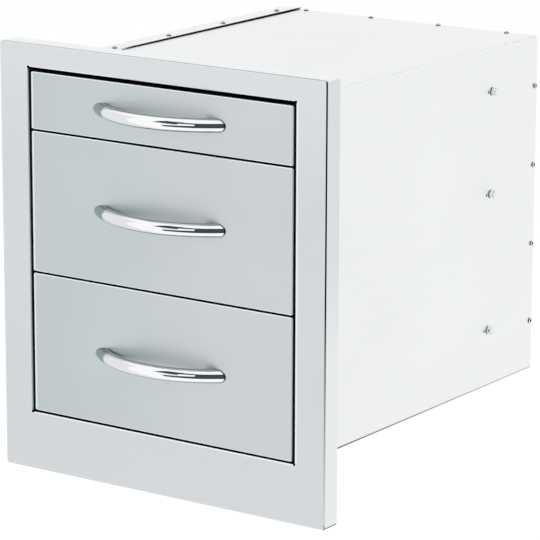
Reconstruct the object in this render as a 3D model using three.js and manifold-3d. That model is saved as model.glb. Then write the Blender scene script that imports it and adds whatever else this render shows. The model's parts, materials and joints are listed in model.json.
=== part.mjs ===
// Three-drawer unit for an outdoor kitchen: a face frame, a folded sheet box and
// three drawers on full-extension ball slides.
//
// Millimetres. X runs to the right seen from the front, Y into the box, Z up.
// Origin: back of the face frame, in the middle of its lower lip, which is where
// the frame meets the face of the island. The pieces are drawn with Z zero at the
// underside of the box, and the whole unit is then raised to that origin.

import * as THREE from 'three';
import { mergeVertices } from 'three/addons/utils/BufferGeometryUtils.js';
import Module from 'manifold-3d';

const wasm = await Module();
wasm.setup();

// General
const ASSEMBLY_GAP = 0.3; // between pieces that touch on the real unit
const OVERRUN = 2; // how far a cutting block runs past the piece it cuts
const WELD_TOLERANCE = 1e-4; // corners closer than this are one corner
const CORNER_STEPS = 3; // facets in a rounded corner
const BEND_STEPS = 2; // facets in a folded edge
const SMALL_BEND_STEPS = 1; // the same in a slide member
const HOLE_SIDES = 8;

// Face frame: the flange that shows on the island
const FACE_WIDTH = 432;
const FACE_HEIGHT = 484;
const FACE_DEPTH = 24;
const FACE_SHEET = 1;
const FACE_CORNER = 3;
const FACE_BEND = 1.5;
const FACE_SIDE_MARGIN = 39;
const FACE_TOP_MARGIN = 26.5;
const FACE_BOTTOM_MARGIN = 66.5;
const FACE_BACK_LIP = 10;
const FACE_RETURN_REACH = 2; // the returns round the opening end this far behind the frame
const CORNER_RELIEF_RADIUS = 1.8;

// Box: two folded shells and a back
const SHELL_SHEET = 1;
const SHELL_BEND = 3; // inside radius
const SHELL_FRONT_CLEARANCE = 2; // shell edge to the back of the face sheet
const SHELL_FLANGE = 28.5;
const SHELL_FLANGE_LIFT = 0.7; // the lap springs open by this at the back
const BACK_SHEET = 1;
const BACK_FLANGE = 14;
const BACK_BEND = 1.5;
const BACK_CORNER_NOTCH = 5;

// Drawer fronts
const FRONT_SIDE_GAP = 3;
const FRONT_GAP = 2; // under each front
const FRONT_TOP_GAP = 4.5;
const FRONT_SMALL_HEIGHT = 64;
const FRONT_RECESS = 0.5;
const FRONT_DEPTH = 19;
const FRONT_SHEET = 1;
const FRONT_CORNER = 2;
const FRONT_BEND = 1.2;
const LINER_SHEET = 0.8;
const LINER_FLANGE = 8;
const LINER_CORNER_NOTCH = 4;

// Handles
const HANDLE_DIAMETER = 15.2;
const HANDLE_SPAN = 152.4; // between the centres of the feet
const HANDLE_RISE = 26; // front panel to the middle of the bow's centre line
const HANDLE_SIDES = 12;
const HANDLE_STEPS = 14;
const HANDLE_SCREW_RADIUS = 2;
const HANDLE_SCREW_GRIP = 7; // thread inside the foot
const HANDLE_SCREW_HEAD_RADIUS = 3.6;
const HANDLE_SCREW_HEAD_HEIGHT = 2.4;
const SCREW_CLEARANCE = 0.3; // hole radius over screw radius
const HEAD_CROWN_SHARE = 0.75; // flat top of a screw head, as a share of its radius

// Trays
const TRAY_SHEET = 0.9;
const TRAY_END_CLEARANCE = 6; // shorter than its slides by this
const TRAY_BEND = 2;
const TRAY_HEM = 8;
const TRAY_LIFT = 4; // over the lower edge of the front
const TRAY_SMALL_HEADROOM = 12; // top of the tray to the upper edge of the front
const TRAY_LARGE_HEADROOM = 28.5;

// Slides: three members and two ball cages a side
const SLIDE_LENGTH = 450;
const SLIDE_FRONT = 3; // behind the back edge of the face frame
const SLIDE_BACK_CLEARANCE = 1; // to the flange of the back panel
const SLIDE_HEIGHT = 45;
const SLIDE_WIDTH = 12.7;
const SLIDE_SHEET = 1.1;
const SLIDE_BEND = 0.8;
const SLIDE_END_CLEARANCE = 6; // middle and inner member are shorter by this
const SLIDE_SMALL_RISE = 20.5; // lower edge of the front to the slide's centre line
const SLIDE_LARGE_RISE = 62;
const OUTER_LIP_START = 7.2; // where the ball groove turns in, from the box wall
const OUTER_FLANGE = 8.6;
const OUTER_LIP_DROP = 1.5;
const MIDDLE_WEB = 3.4; // face of the web, from the box wall
const MIDDLE_LIP_START = 10.2;
const MIDDLE_FLANGE = 11.3;
const MIDDLE_LIP_DROP = 1;
const INNER_FLANGE = 6.4;
const INNER_LIP_START = 7.4;
const INNER_LIP_RISE = 0.9;
const BALL_RADIUS = 1.75;
const BALL_CLEARANCE = 0.3;
const OUTER_BALL_LINE = 5.6; // ball centres, from the box wall
const INNER_BALL_LINE = 9;
const BALLS_A_ROW = 4;
const CAGE_LENGTH = 216;
const CAGE_SHEET = 0.6;
const CAGE_END_MARGIN = 10; // last ball to the end of the cage
const OUTER_CAGE_WEB = 1.5;
const INNER_CAGE_WEB = 5;
const CAGE_ARM_PAST_BALL = 1.7;
const STOP_TAB_WIDTH = 14;
const STOP_TAB_REACH = 8.4;
const STOP_TAB_SHEET = 1.2;
const WINDOW_LENGTH = 16; // oblong windows in the middle member
const WINDOW_WIDTH = 8;
const WINDOW_SETBACK = 95; // end of the slide to the middle of the first window
const WINDOW_COUNT = 2;

// Fixings of the slides: a bolt with a cap nut outside the box
const BOLT_SETBACK = 84; // back end of the slide to the bolt
const BOLT_RADIUS = 2.5;
const BOLT_HEAD_RADIUS = 4.5;
const BOLT_HEAD_HEIGHT = 1.4;
const SPARE_HOLE_PITCH = 9; // in front of the bolt
const SPARE_HOLE_RADIUS = 1.75;
const WASHER_RADIUS = 4.8;
const WASHER_THICKNESS = 0.9;
const NUT_FLATS = 8;
const NUT_HEIGHT = 3.6;
const DOME_RADIUS = 3.6;
const NUT_SIDES = 6;
const ROUND_SIDES = 10;

// Sizes that follow
const openingWidth = FACE_WIDTH - 2 * FACE_SIDE_MARGIN;
const openingHeight = FACE_HEIGHT - FACE_TOP_MARGIN - FACE_BOTTOM_MARGIN;
const openingLow = SHELL_SHEET + ASSEMBLY_GAP + FACE_SHEET;
const openingHigh = openingLow + openingHeight;
const faceLow = openingLow - FACE_BOTTOM_MARGIN;
const faceFront = -FACE_DEPTH;
const originRise = -(faceLow + FACE_BACK_LIP / 2);
const shellInnerHalf = openingWidth / 2 + FACE_SHEET + ASSEMBLY_GAP;
const shellInnerTop = openingHigh + FACE_SHEET + ASSEMBLY_GAP;
const shellMiddle = (SHELL_SHEET + shellInnerTop) / 2;
const shellFront = faceFront + FACE_SHEET + SHELL_FRONT_CLEARANCE;
const railWall = shellInnerHalf - ASSEMBLY_GAP; // back of the outer members
const trayHalf = railWall - SLIDE_WIDTH - ASSEMBLY_GAP;
const frontWidth = openingWidth - 2 * FRONT_SIDE_GAP;
const frontLargeHeight =
  (openingHeight - FRONT_TOP_GAP - FRONT_SMALL_HEIGHT - 3 * FRONT_GAP) / 2;
const frontFace = faceFront + FRONT_RECESS;
const frontBack = frontFace + FRONT_DEPTH;
const trayFront = frontBack + ASSEMBLY_GAP;
const handleHalf = HANDLE_SPAN / 2;
const handleRadius = (handleHalf ** 2 + HANDLE_RISE ** 2) / (2 * HANDLE_RISE);
const handleHalfAngle = Math.asin(handleHalf / handleRadius);
// Each screw crosses the bar's centre line half way along its grip
const handleScrewSpan = HANDLE_SPAN - HANDLE_SCREW_GRIP / Math.tan(handleHalfAngle);
const slideBack = SLIDE_FRONT + SLIDE_LENGTH;
const slideMiddle = SLIDE_FRONT + SLIDE_LENGTH / 2;
const boltPlace = slideBack - BOLT_SETBACK;
const spareHolePlace = boltPlace - SPARE_HOLE_PITCH;
const shellBack = slideBack + SLIDE_BACK_CLEARANCE + BACK_FLANGE;
const memberLength = SLIDE_LENGTH - SLIDE_END_CLEARANCE;

// Materials

function metal(color, roughness, metalness = 1) {
  return () => new THREE.MeshStandardMaterial({ color, roughness, metalness });
}

const finishes = {
  brushed: metal(0xd6dadd, 0.38),
  satin: metal(0xc6cccd, 0.42),
  sheet: metal(0xe6eaea, 0.5),
  polished: metal(0xe8eaec, 0.08),
  zinc: metal(0xc9cdd0, 0.35),
  cage: metal(0xaeb2b4, 0.5),
  bolt: metal(0xb9bdbf, 0.3),
};

// From three.js geometry to a solid that can be cut, and back

function solidFrom(geometry) {
  const bare = geometry.index ? geometry.toNonIndexed() : geometry.clone();
  bare.deleteAttribute('normal');
  bare.deleteAttribute('uv');
  const welded = mergeVertices(bare, WELD_TOLERANCE);
  const corners = welded.index.array;
  const triangles = [];
  for (let i = 0; i < corners.length; i += 3) {
    const [a, b, c] = corners.slice(i, i + 3);
    if (a !== b && b !== c && c !== a) triangles.push(a, b, c);
  }
  return new wasm.Manifold(new wasm.Mesh({
    numProp: 3,
    vertProperties: new Float32Array(welded.attributes.position.array),
    triVerts: new Uint32Array(triangles),
  }));
}

function geometryFrom(solid) {
  const { vertProperties, triVerts } = solid.getMesh();
  const geometry = new THREE.BufferGeometry();
  geometry.setAttribute('position', new THREE.BufferAttribute(vertProperties, 3));
  geometry.setIndex(Array.from(triVerts));
  geometry.computeVertexNormals();
  return geometry;
}

function mesh(name, solid, finish) {
  const piece = new THREE.Mesh(geometryFrom(solid), finishes[finish]());
  piece.name = name;
  return piece;
}

function joined(...solids) {
  return solids.reduce((whole, next) => whole.add(next));
}

function cut(solid, ...cutters) {
  return cutters.reduce((left, cutter) => left.subtract(cutter), solid);
}

// Outlines

const point = (x, y) => new THREE.Vector2(x, y);

function roundedRectangle(width, height, corner, low = 0) {
  const points = [];
  const centres = [
    [width / 2 - corner, low + corner],
    [width / 2 - corner, low + height - corner],
    [-width / 2 + corner, low + height - corner],
    [-width / 2 + corner, low + corner],
  ];
  centres.forEach(([x, y], quarter) => {
    for (let step = 0; step <= CORNER_STEPS; step += 1) {
      const angle = ((quarter - 1) + step / CORNER_STEPS) * (Math.PI / 2);
      points.push(point(x + corner * Math.cos(angle), y + corner * Math.sin(angle)));
    }
  });
  return points;
}

// The outline of a folded sheet, from the corners of its middle line
function foldedSheet(corners, thickness, insideRadius, steps = BEND_STEPS) {
  const half = thickness / 2;
  const radius = insideRadius + half;
  const line = corners.map(([x, y]) => point(x, y));
  const directions = line.slice(1).map((next, i) => next.clone().sub(line[i]).normalize());
  const sides = directions.map((along) => point(-along.y, along.x));
  const spine = [{ place: line[0], side: sides[0] }];
  for (let i = 1; i < line.length - 1; i += 1) {
    const turn = directions[i - 1].cross(directions[i]);
    const angle = Math.atan2(turn, directions[i - 1].dot(directions[i]));
    const way = Math.sign(angle);
    const setback = radius * Math.tan(Math.abs(angle) / 2);
    const start = line[i].clone().addScaledVector(directions[i - 1], -setback);
    const centre = start.clone().addScaledVector(sides[i - 1], way * radius);
    for (let step = 0; step <= steps; step += 1) {
      const side = sides[i - 1].clone().rotateAround(point(0, 0), (angle * step) / steps);
      spine.push({ place: centre.clone().addScaledVector(side, -way * radius), side });
    }
  }
  spine.push({ place: line[line.length - 1], side: sides[sides.length - 1] });
  const near = spine.map(({ place, side }) => place.clone().addScaledVector(side, -half));
  const far = spine.map(({ place, side }) => place.clone().addScaledVector(side, half));
  const outline = [...near, ...far.reverse()];
  return THREE.ShapeUtils.isClockWise(outline) ? outline.reverse() : outline;
}

// Solids

function block([x0, y0, z0], [x1, y1, z1]) {
  const geometry = new THREE.BoxGeometry(x1 - x0, y1 - y0, z1 - z0);
  geometry.translate((x0 + x1) / 2, (y0 + y1) / 2, (z0 + z1) / 2);
  return solidFrom(geometry);
}

// Rings of (x, z) points at rising stations along Y, closed at both ends
function loftAlongY(rings, stations) {
  const count = rings[0].length;
  const positions = [];
  rings.forEach((ring, i) => ring.forEach(({ x, y }) => positions.push(x, stations[i], y)));
  const index = [];
  const last = (rings.length - 1) * count;
  for (const [a, b, c] of THREE.ShapeUtils.triangulateShape(rings[0], [])) index.push(a, b, c);
  for (const [a, b, c] of THREE.ShapeUtils.triangulateShape(rings[rings.length - 1], [])) {
    index.push(last + a, last + c, last + b);
  }
  for (let ring = 0; ring < rings.length - 1; ring += 1) {
    for (let i = 0; i < count; i += 1) {
      const here = ring * count + i;
      const next = ring * count + ((i + 1) % count);
      index.push(here, here + count, next, next, here + count, next + count);
    }
  }
  const geometry = new THREE.BufferGeometry();
  geometry.setAttribute('position', new THREE.Float32BufferAttribute(positions, 3));
  geometry.setIndex(index);
  return solidFrom(geometry);
}

const alongY = (outline, from, to) => loftAlongY([outline, outline], [from, to]);

// An upright panel block whose front edges are rounded like a fold
function facedBlock(outline, bend, front, back) {
  const geometry = new THREE.ExtrudeGeometry(new THREE.Shape(outline), {
    depth: back - front,
    bevelThickness: bend,
    bevelSize: bend,
    bevelOffset: -bend,
    bevelSegments: BEND_STEPS,
    curveSegments: 1,
  });
  geometry.rotateX(Math.PI / 2);
  geometry.translate(0, back + bend, 0);
  const { min, max } = new THREE.Box2().setFromPoints(outline);
  const behind = block(
    [min.x - OVERRUN, back, min.y - OVERRUN],
    [max.x + OVERRUN, back + 2 * bend + OVERRUN, max.y + OVERRUN],
  );
  return cut(solidFrom(geometry), behind);
}

function rodAlongX(radius, x0, x1, y, z, sides = HOLE_SIDES) {
  const geometry = new THREE.CylinderGeometry(radius, radius, x1 - x0, sides);
  geometry.rotateZ(Math.PI / 2);
  geometry.translate((x0 + x1) / 2, y, z);
  return solidFrom(geometry);
}

function rodAlongY(radius, x, y0, y1, z, sides = HOLE_SIDES) {
  const geometry = new THREE.CylinderGeometry(radius, radius, y1 - y0, sides);
  geometry.translate(x, (y0 + y1) / 2, z);
  return solidFrom(geometry);
}

// Face frame

// The cutter for the opening: it flares at the front, so that its edge is a fold
function openingCutter(back) {
  const rings = [];
  const stations = [];
  const ringAt = (spread, station) => {
    const half = openingWidth / 2 + spread;
    rings.push([
      point(-half, openingLow - spread),
      point(half, openingLow - spread),
      point(half, openingHigh + spread),
      point(-half, openingHigh + spread),
    ]);
    stations.push(station);
  };
  ringAt(FACE_BEND, faceFront - OVERRUN);
  for (let step = 0; step <= BEND_STEPS; step += 1) {
    const angle = ((step / BEND_STEPS) * Math.PI) / 2;
    ringAt(FACE_BEND * (1 - Math.sin(angle)), faceFront + FACE_BEND * (1 - Math.cos(angle)));
  }
  ringAt(0, back);
  return loftAlongY(rings, stations);
}

function buildFaceFrame() {
  const returnEnd = FACE_RETURN_REACH;
  const outside = facedBlock(
    roundedRectangle(FACE_WIDTH, FACE_HEIGHT, FACE_CORNER, faceLow), FACE_BEND, faceFront, 0,
  );
  const inset = (by, corner) => roundedRectangle(
    FACE_WIDTH - 2 * by, FACE_HEIGHT - 2 * by, corner, faceLow + by,
  );
  const hollow = facedBlock(
    inset(FACE_SHEET, FACE_CORNER - FACE_SHEET),
    FACE_BEND - FACE_SHEET,
    faceFront + FACE_SHEET,
    -FACE_SHEET,
  );
  const backOpening = alongY(
    inset(FACE_BACK_LIP, FACE_CORNER - FACE_SHEET), -FACE_SHEET - OVERRUN, OVERRUN,
  );
  const tray = cut(outside, hollow, backOpening);
  const returns = block(
    [-openingWidth / 2 - FACE_SHEET, faceFront + FACE_SHEET / 2, openingLow - FACE_SHEET],
    [openingWidth / 2 + FACE_SHEET, returnEnd, openingHigh + FACE_SHEET],
  );
  const reliefs = [-1, 1].flatMap((side) => [openingLow, openingHigh].map((height) => rodAlongY(
    CORNER_RELIEF_RADIUS, (side * openingWidth) / 2, faceFront - OVERRUN, returnEnd + OVERRUN, height,
  )));
  return cut(joined(tray, returns), openingCutter(returnEnd + OVERRUN), ...reliefs);
}

// Box

// Section of a shell: a wide sheet, a bend down the side and a lapping flange below
function shellSection(lift) {
  const half = SHELL_SHEET / 2;
  const side = shellInnerHalf + half;
  const top = shellInnerTop + half;
  const flange = -ASSEMBLY_GAP - half - lift;
  return foldedSheet([
    [-(shellInnerHalf - SHELL_BEND), top],
    [side, top],
    [side, flange],
    [shellInnerHalf + SHELL_SHEET - SHELL_FLANGE, flange],
  ], SHELL_SHEET, SHELL_BEND);
}

function buildShell(slideHeights, turned) {
  const sections = [shellSection(0), shellSection(SHELL_FLANGE_LIFT)].map((outline) => (
    turned ? outline.map(({ x, y }) => point(-x, 2 * shellMiddle - y)) : outline
  ));
  const shell = loftAlongY(sections, [shellFront, shellBack]);
  const side = turned ? -1 : 1;
  const near = shellInnerHalf - OVERRUN;
  const far = shellInnerHalf + SHELL_SHEET + OVERRUN;
  const [x0, x1] = side > 0 ? [near, far] : [-far, -near];
  const holes = slideHeights.flatMap((height) => [
    rodAlongX(BOLT_RADIUS + SCREW_CLEARANCE, x0, x1, boltPlace, height),
    rodAlongX(SPARE_HOLE_RADIUS, x0, x1, spareHolePlace, height),
  ]);
  return cut(shell, ...holes);
}

function buildBackPanel() {
  const half = shellInnerHalf - ASSEMBLY_GAP;
  const low = SHELL_SHEET + ASSEMBLY_GAP;
  const high = shellInnerTop - ASSEMBLY_GAP;
  const rectangle = (by) => [
    point(-half + by, low + by),
    point(half - by, low + by),
    point(half - by, high - by),
    point(-half + by, high - by),
  ];
  const front = shellBack - BACK_FLANGE;
  const bendStart = shellBack - BACK_BEND;
  const rings = [rectangle(0)];
  const stations = [front];
  for (let step = 0; step <= BEND_STEPS; step += 1) {
    const angle = ((step / BEND_STEPS) * Math.PI) / 2;
    rings.push(rectangle(BACK_BEND * (1 - Math.cos(angle))));
    stations.push(bendStart + BACK_BEND * Math.sin(angle));
  }
  const outside = loftAlongY(rings, stations);
  const hollow = alongY(rectangle(BACK_SHEET), front - OVERRUN, shellBack - BACK_SHEET);
  const notches = [-1, 1].flatMap((side) => [low, high].map((height) => block(
    [side * half - BACK_CORNER_NOTCH, front - OVERRUN, height - BACK_CORNER_NOTCH],
    [side * half + BACK_CORNER_NOTCH, shellBack - BACK_BEND, height + BACK_CORNER_NOTCH],
  )));
  const corners = [-1, 1].flatMap((side) => [low, high].map((height) => rodAlongY(
    SHELL_BEND, side * half, bendStart - OVERRUN, shellBack + OVERRUN, height,
  )));
  return cut(outside, hollow, ...notches, ...corners);
}

// Drawers. Each is built with the lower edge of its front at Z 0.

function buildFront(height) {
  const outside = facedBlock(
    roundedRectangle(frontWidth, height, FRONT_CORNER), FRONT_BEND, frontFace, frontBack,
  );
  const hollow = alongY(
    roundedRectangle(
      frontWidth - 2 * FRONT_SHEET,
      height - 2 * FRONT_SHEET,
      FRONT_CORNER - FRONT_SHEET,
      FRONT_SHEET,
    ),
    frontFace + FRONT_SHEET,
    frontBack + OVERRUN,
  );
  const holes = [-1, 1].map((side) => rodAlongY(
    HANDLE_SCREW_RADIUS + SCREW_CLEARANCE,
    (side * handleScrewSpan) / 2,
    frontFace - OVERRUN,
    frontFace + FRONT_SHEET + OVERRUN,
    height / 2,
  ));
  return cut(outside, hollow, ...holes);
}

// The sheet that closes the back of the front, with its edges folded forwards
function buildLiner(height) {
  const inset = FRONT_SHEET + ASSEMBLY_GAP;
  const front = frontBack - LINER_FLANGE;
  const width = frontWidth - 2 * inset;
  const outside = block(
    [-width / 2, front, inset],
    [width / 2, frontBack, height - inset],
  );
  const hollow = block(
    [-width / 2 + LINER_SHEET, front - OVERRUN, inset + LINER_SHEET],
    [width / 2 - LINER_SHEET, frontBack - LINER_SHEET, height - inset - LINER_SHEET],
  );
  const notches = [-1, 1].flatMap((side) => [inset, height - inset].map((level) => block(
    [(side * width) / 2 - LINER_CORNER_NOTCH, front - OVERRUN, level - LINER_CORNER_NOTCH],
    [(side * width) / 2 + LINER_CORNER_NOTCH, frontBack - LINER_SHEET, level + LINER_CORNER_NOTCH],
  )));
  return cut(outside, hollow, ...notches);
}

// A folded tray: outer skin, hollow below the hem and a narrower hollow within it
function buildTray(frontHeight, headroom) {
  const depth = SLIDE_LENGTH - TRAY_END_CLEARANCE;
  const back = trayFront + depth;
  const top = frontHeight - headroom;
  const rings = [];
  const levels = [];
  const skin = (by) => roundedRectangle(
    2 * (trayHalf - by), depth - 2 * by, TRAY_BEND, trayFront + by,
  );
  for (let step = 0; step <= BEND_STEPS; step += 1) {
    const angle = ((step / BEND_STEPS) * Math.PI) / 2;
    rings.push(skin(TRAY_BEND * (1 - Math.sin(angle))));
    levels.push(TRAY_LIFT + TRAY_BEND * (1 - Math.cos(angle)));
  }
  rings.push(skin(0));
  levels.push(top);
  const outside = stackUpZ(rings, levels);
  const hollow = (by, low, high) => block(
    [-trayHalf + by, trayFront + by, low],
    [trayHalf - by, back - by, high],
  );
  const belowHem = hollow(TRAY_SHEET, TRAY_LIFT + TRAY_SHEET, top - TRAY_HEM);
  const withinHem = hollow(2 * TRAY_SHEET, top - TRAY_HEM - OVERRUN, top + OVERRUN);
  return cut(outside, belowHem, withinHem);
}

// Rings of (x, y) points at rising levels
function stackUpZ(rings, levels) {
  const turned = rings.map((ring) => ring.map(({ x, y }) => point(x, -y)).reverse());
  const solid = loftAlongY(turned, levels);
  return solid.rotate([90, 0, 0]);
}

class BowCurve extends THREE.Curve {
  constructor(radius, halfAngle, centre) {
    super();
    Object.assign(this, { radius, halfAngle, centre });
  }

  getPoint(share) {
    const angle = (2 * share - 1) * this.halfAngle;
    return new THREE.Vector3(
      this.radius * Math.sin(angle), this.centre - this.radius * Math.cos(angle), 0,
    );
  }
}

// A round bar bent to one arc, its feet cut flat against the front
function buildHandle() {
  const seat = frontFace - ASSEMBLY_GAP;
  const centre = frontFace + handleRadius - HANDLE_RISE;
  const past = HANDLE_DIAMETER / handleRadius;
  const curve = new BowCurve(handleRadius, handleHalfAngle + past, centre);
  const circle = [];
  for (let i = 0; i < HANDLE_SIDES; i += 1) {
    const angle = (Math.PI * (2 * i + 1)) / HANDLE_SIDES;
    circle.push(point(Math.cos(angle), Math.sin(angle)).multiplyScalar(HANDLE_DIAMETER / 2));
  }
  const bar = solidFrom(new THREE.ExtrudeGeometry(new THREE.Shape(circle), {
    steps: HANDLE_STEPS,
    extrudePath: curve,
    curveSegments: 1,
  }));
  const behind = block(
    [-HANDLE_SPAN, seat, -HANDLE_DIAMETER],
    [HANDLE_SPAN, seat + HANDLE_SPAN, HANDLE_DIAMETER],
  );
  const bores = [-1, 1].map((side) => rodAlongY(
    HANDLE_SCREW_RADIUS + SCREW_CLEARANCE,
    (side * handleScrewSpan) / 2,
    seat - HANDLE_SCREW_GRIP - SCREW_CLEARANCE,
    seat + OVERRUN,
    0,
  ));
  return cut(bar, behind, ...bores);
}

// Pan-head screw from inside the front into the handle's foot
function buildHandleScrew() {
  const seat = frontFace + FRONT_SHEET + ASSEMBLY_GAP;
  const tip = frontFace - ASSEMBLY_GAP - HANDLE_SCREW_GRIP;
  const head = HANDLE_SCREW_HEAD_HEIGHT;
  const profile = [
    point(0, tip),
    point(HANDLE_SCREW_RADIUS, tip),
    point(HANDLE_SCREW_RADIUS, seat),
    point(HANDLE_SCREW_HEAD_RADIUS, seat),
    point(HANDLE_SCREW_HEAD_RADIUS, seat + head / 2),
    point(HANDLE_SCREW_HEAD_RADIUS * HEAD_CROWN_SHARE, seat + head),
    point(0, seat + head),
  ];
  return solidFrom(new THREE.LatheGeometry(profile, HOLE_SIDES));
}

// Slides. Each is built against the left wall: X is the distance from the wall,
// Z is zero on its centre line. The right one is the same, turned about Y.

const sheetHalf = SLIDE_SHEET / 2;
const outerFlangeLine = SLIDE_HEIGHT / 2 - sheetHalf;
const outerBallHeight = SLIDE_HEIGHT / 2 - SLIDE_SHEET - BALL_CLEARANCE - BALL_RADIUS;
const middleFlangeLine = outerBallHeight - BALL_RADIUS - BALL_CLEARANCE - sheetHalf;
const innerBallHeight = middleFlangeLine - sheetHalf - BALL_CLEARANCE - BALL_RADIUS;
const innerFlangeLine = innerBallHeight - BALL_RADIUS - BALL_CLEARANCE - sheetHalf;

// A channel mirrored about its centre line, from the half path of its upper flange
function channelSection(upper, sheet, bend) {
  const lower = upper.map(([x, z]) => [x, -z]).reverse();
  return foldedSheet([...upper, ...lower], sheet, bend, SMALL_BEND_STEPS);
}

function oblongAlongX(length, width, x0, x1, middle) {
  const half = (length - width) / 2;
  const ends = [-half, half].map((offset) => rodAlongX(width / 2, x0, x1, middle + offset, 0));
  const between = block([x0, middle - half, -width / 2], [x1, middle + half, width / 2]);
  return joined(between, ...ends);
}

function buildOuterMember() {
  const channel = alongY(channelSection([
    [OUTER_FLANGE, outerFlangeLine - OUTER_LIP_DROP],
    [OUTER_LIP_START, outerFlangeLine],
    [sheetHalf, outerFlangeLine],
  ], SLIDE_SHEET, SLIDE_BEND), SLIDE_FRONT, slideBack);
  const tab = block(
    [sheetHalf, slideBack - STOP_TAB_SHEET, -STOP_TAB_WIDTH / 2],
    [STOP_TAB_REACH, slideBack, STOP_TAB_WIDTH / 2],
  );
  const boltHole = rodAlongX(
    BOLT_RADIUS + SCREW_CLEARANCE, -OVERRUN, SLIDE_SHEET + OVERRUN, boltPlace, 0,
  );
  return cut(joined(channel, tab), boltHole);
}

function buildMiddleMember() {
  const channel = alongY(channelSection([
    [MIDDLE_FLANGE, middleFlangeLine - MIDDLE_LIP_DROP],
    [MIDDLE_LIP_START, middleFlangeLine],
    [MIDDLE_WEB + sheetHalf, middleFlangeLine],
  ], SLIDE_SHEET, SLIDE_BEND), SLIDE_FRONT, SLIDE_FRONT + memberLength);
  const windows = [];
  const pitch = (SLIDE_LENGTH - 2 * WINDOW_SETBACK) / (WINDOW_COUNT - 1);
  for (let i = 0; i < WINDOW_COUNT; i += 1) {
    const middle = SLIDE_FRONT + WINDOW_SETBACK + i * pitch;
    windows.push(oblongAlongX(
      WINDOW_LENGTH, WINDOW_WIDTH, MIDDLE_WEB - OVERRUN, MIDDLE_WEB + SLIDE_SHEET + OVERRUN, middle,
    ));
  }
  return cut(channel, ...windows);
}

function buildInnerMember() {
  return alongY(channelSection([
    [INNER_FLANGE, innerFlangeLine + INNER_LIP_RISE],
    [INNER_LIP_START, innerFlangeLine],
    [SLIDE_WIDTH - sheetHalf, innerFlangeLine],
  ], SLIDE_SHEET, SLIDE_BEND), SLIDE_FRONT, SLIDE_FRONT + memberLength);
}

// A cage is a thin channel whose arms hold a row of balls above and one below
function buildCage(web, ballLine, ballHeight) {
  const from = slideMiddle - CAGE_LENGTH / 2;
  const reach = ballLine + CAGE_ARM_PAST_BALL;
  const strip = alongY(channelSection([
    [reach, ballHeight],
    [web + CAGE_SHEET / 2, ballHeight],
  ], CAGE_SHEET, CAGE_SHEET), from, from + CAGE_LENGTH);
  const pitch = (CAGE_LENGTH - 2 * CAGE_END_MARGIN) / (BALLS_A_ROW - 1);
  const balls = [];
  for (let i = 0; i < BALLS_A_ROW; i += 1) {
    for (const way of [-1, 1]) {
      const ball = new THREE.IcosahedronGeometry(BALL_RADIUS);
      ball.translate(ballLine, from + CAGE_END_MARGIN + i * pitch, way * ballHeight);
      balls.push(solidFrom(ball));
    }
  }
  return joined(strip, ...balls);
}

// Bolt through slide and box wall, its washer and cap nut outside, along X
function buildSlideBolt() {
  const headSeat = SLIDE_SHEET + ASSEMBLY_GAP;
  const nutSeat = -ASSEMBLY_GAP - SHELL_SHEET - ASSEMBLY_GAP;
  const nutFace = nutSeat - WASHER_THICKNESS;
  const nutTop = nutFace - NUT_HEIGHT;
  const profile = [
    point(0, headSeat + BOLT_HEAD_HEIGHT),
    point(BOLT_HEAD_RADIUS * HEAD_CROWN_SHARE, headSeat + BOLT_HEAD_HEIGHT),
    point(BOLT_HEAD_RADIUS, headSeat + BOLT_HEAD_HEIGHT / 2),
    point(BOLT_HEAD_RADIUS, headSeat),
    point(BOLT_RADIUS, headSeat),
    point(BOLT_RADIUS, nutSeat),
    point(WASHER_RADIUS, nutSeat),
    point(WASHER_RADIUS, nutFace),
    point(DOME_RADIUS, nutFace),
    point(DOME_RADIUS, nutTop),
  ];
  for (let step = 1; step <= CORNER_STEPS; step += 1) {
    const angle = ((step / CORNER_STEPS) * Math.PI) / 2;
    profile.push(point(
      step === CORNER_STEPS ? 0 : DOME_RADIUS * Math.cos(angle),
      nutTop - DOME_RADIUS * Math.sin(angle),
    ));
  }
  const turned = new THREE.LatheGeometry(profile.reverse(), ROUND_SIDES);
  turned.rotateZ(-Math.PI / 2);
  const flats = new THREE.CylinderGeometry(
    NUT_FLATS / Math.sqrt(3), NUT_FLATS / Math.sqrt(3), NUT_HEIGHT, NUT_SIDES,
  );
  flats.rotateZ(-Math.PI / 2);
  flats.translate(nutFace - NUT_HEIGHT / 2, 0, 0);
  const bolt = joined(solidFrom(turned), solidFrom(flats));
  return bolt.translate([0, boltPlace, 0]);
}

// Assembly

const drawerRows = [
  {
    name: 'bottom',
    height: frontLargeHeight,
    headroom: TRAY_LARGE_HEADROOM,
    rise: SLIDE_LARGE_RISE,
  },
  {
    name: 'middle',
    height: frontLargeHeight,
    headroom: TRAY_LARGE_HEADROOM,
    rise: SLIDE_LARGE_RISE,
  },
  {
    name: 'top',
    height: FRONT_SMALL_HEIGHT,
    headroom: TRAY_SMALL_HEADROOM,
    rise: SLIDE_SMALL_RISE,
  },
];

let stacked = openingLow;
for (const row of drawerRows) {
  row.low = stacked + FRONT_GAP;
  row.slideHeight = row.low + row.rise;
  stacked = row.low + row.height;
}

const slideSides = [
  { side: 'left', place: -railWall, turn: 0 },
  { side: 'right', place: railWall, turn: Math.PI },
];

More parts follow.
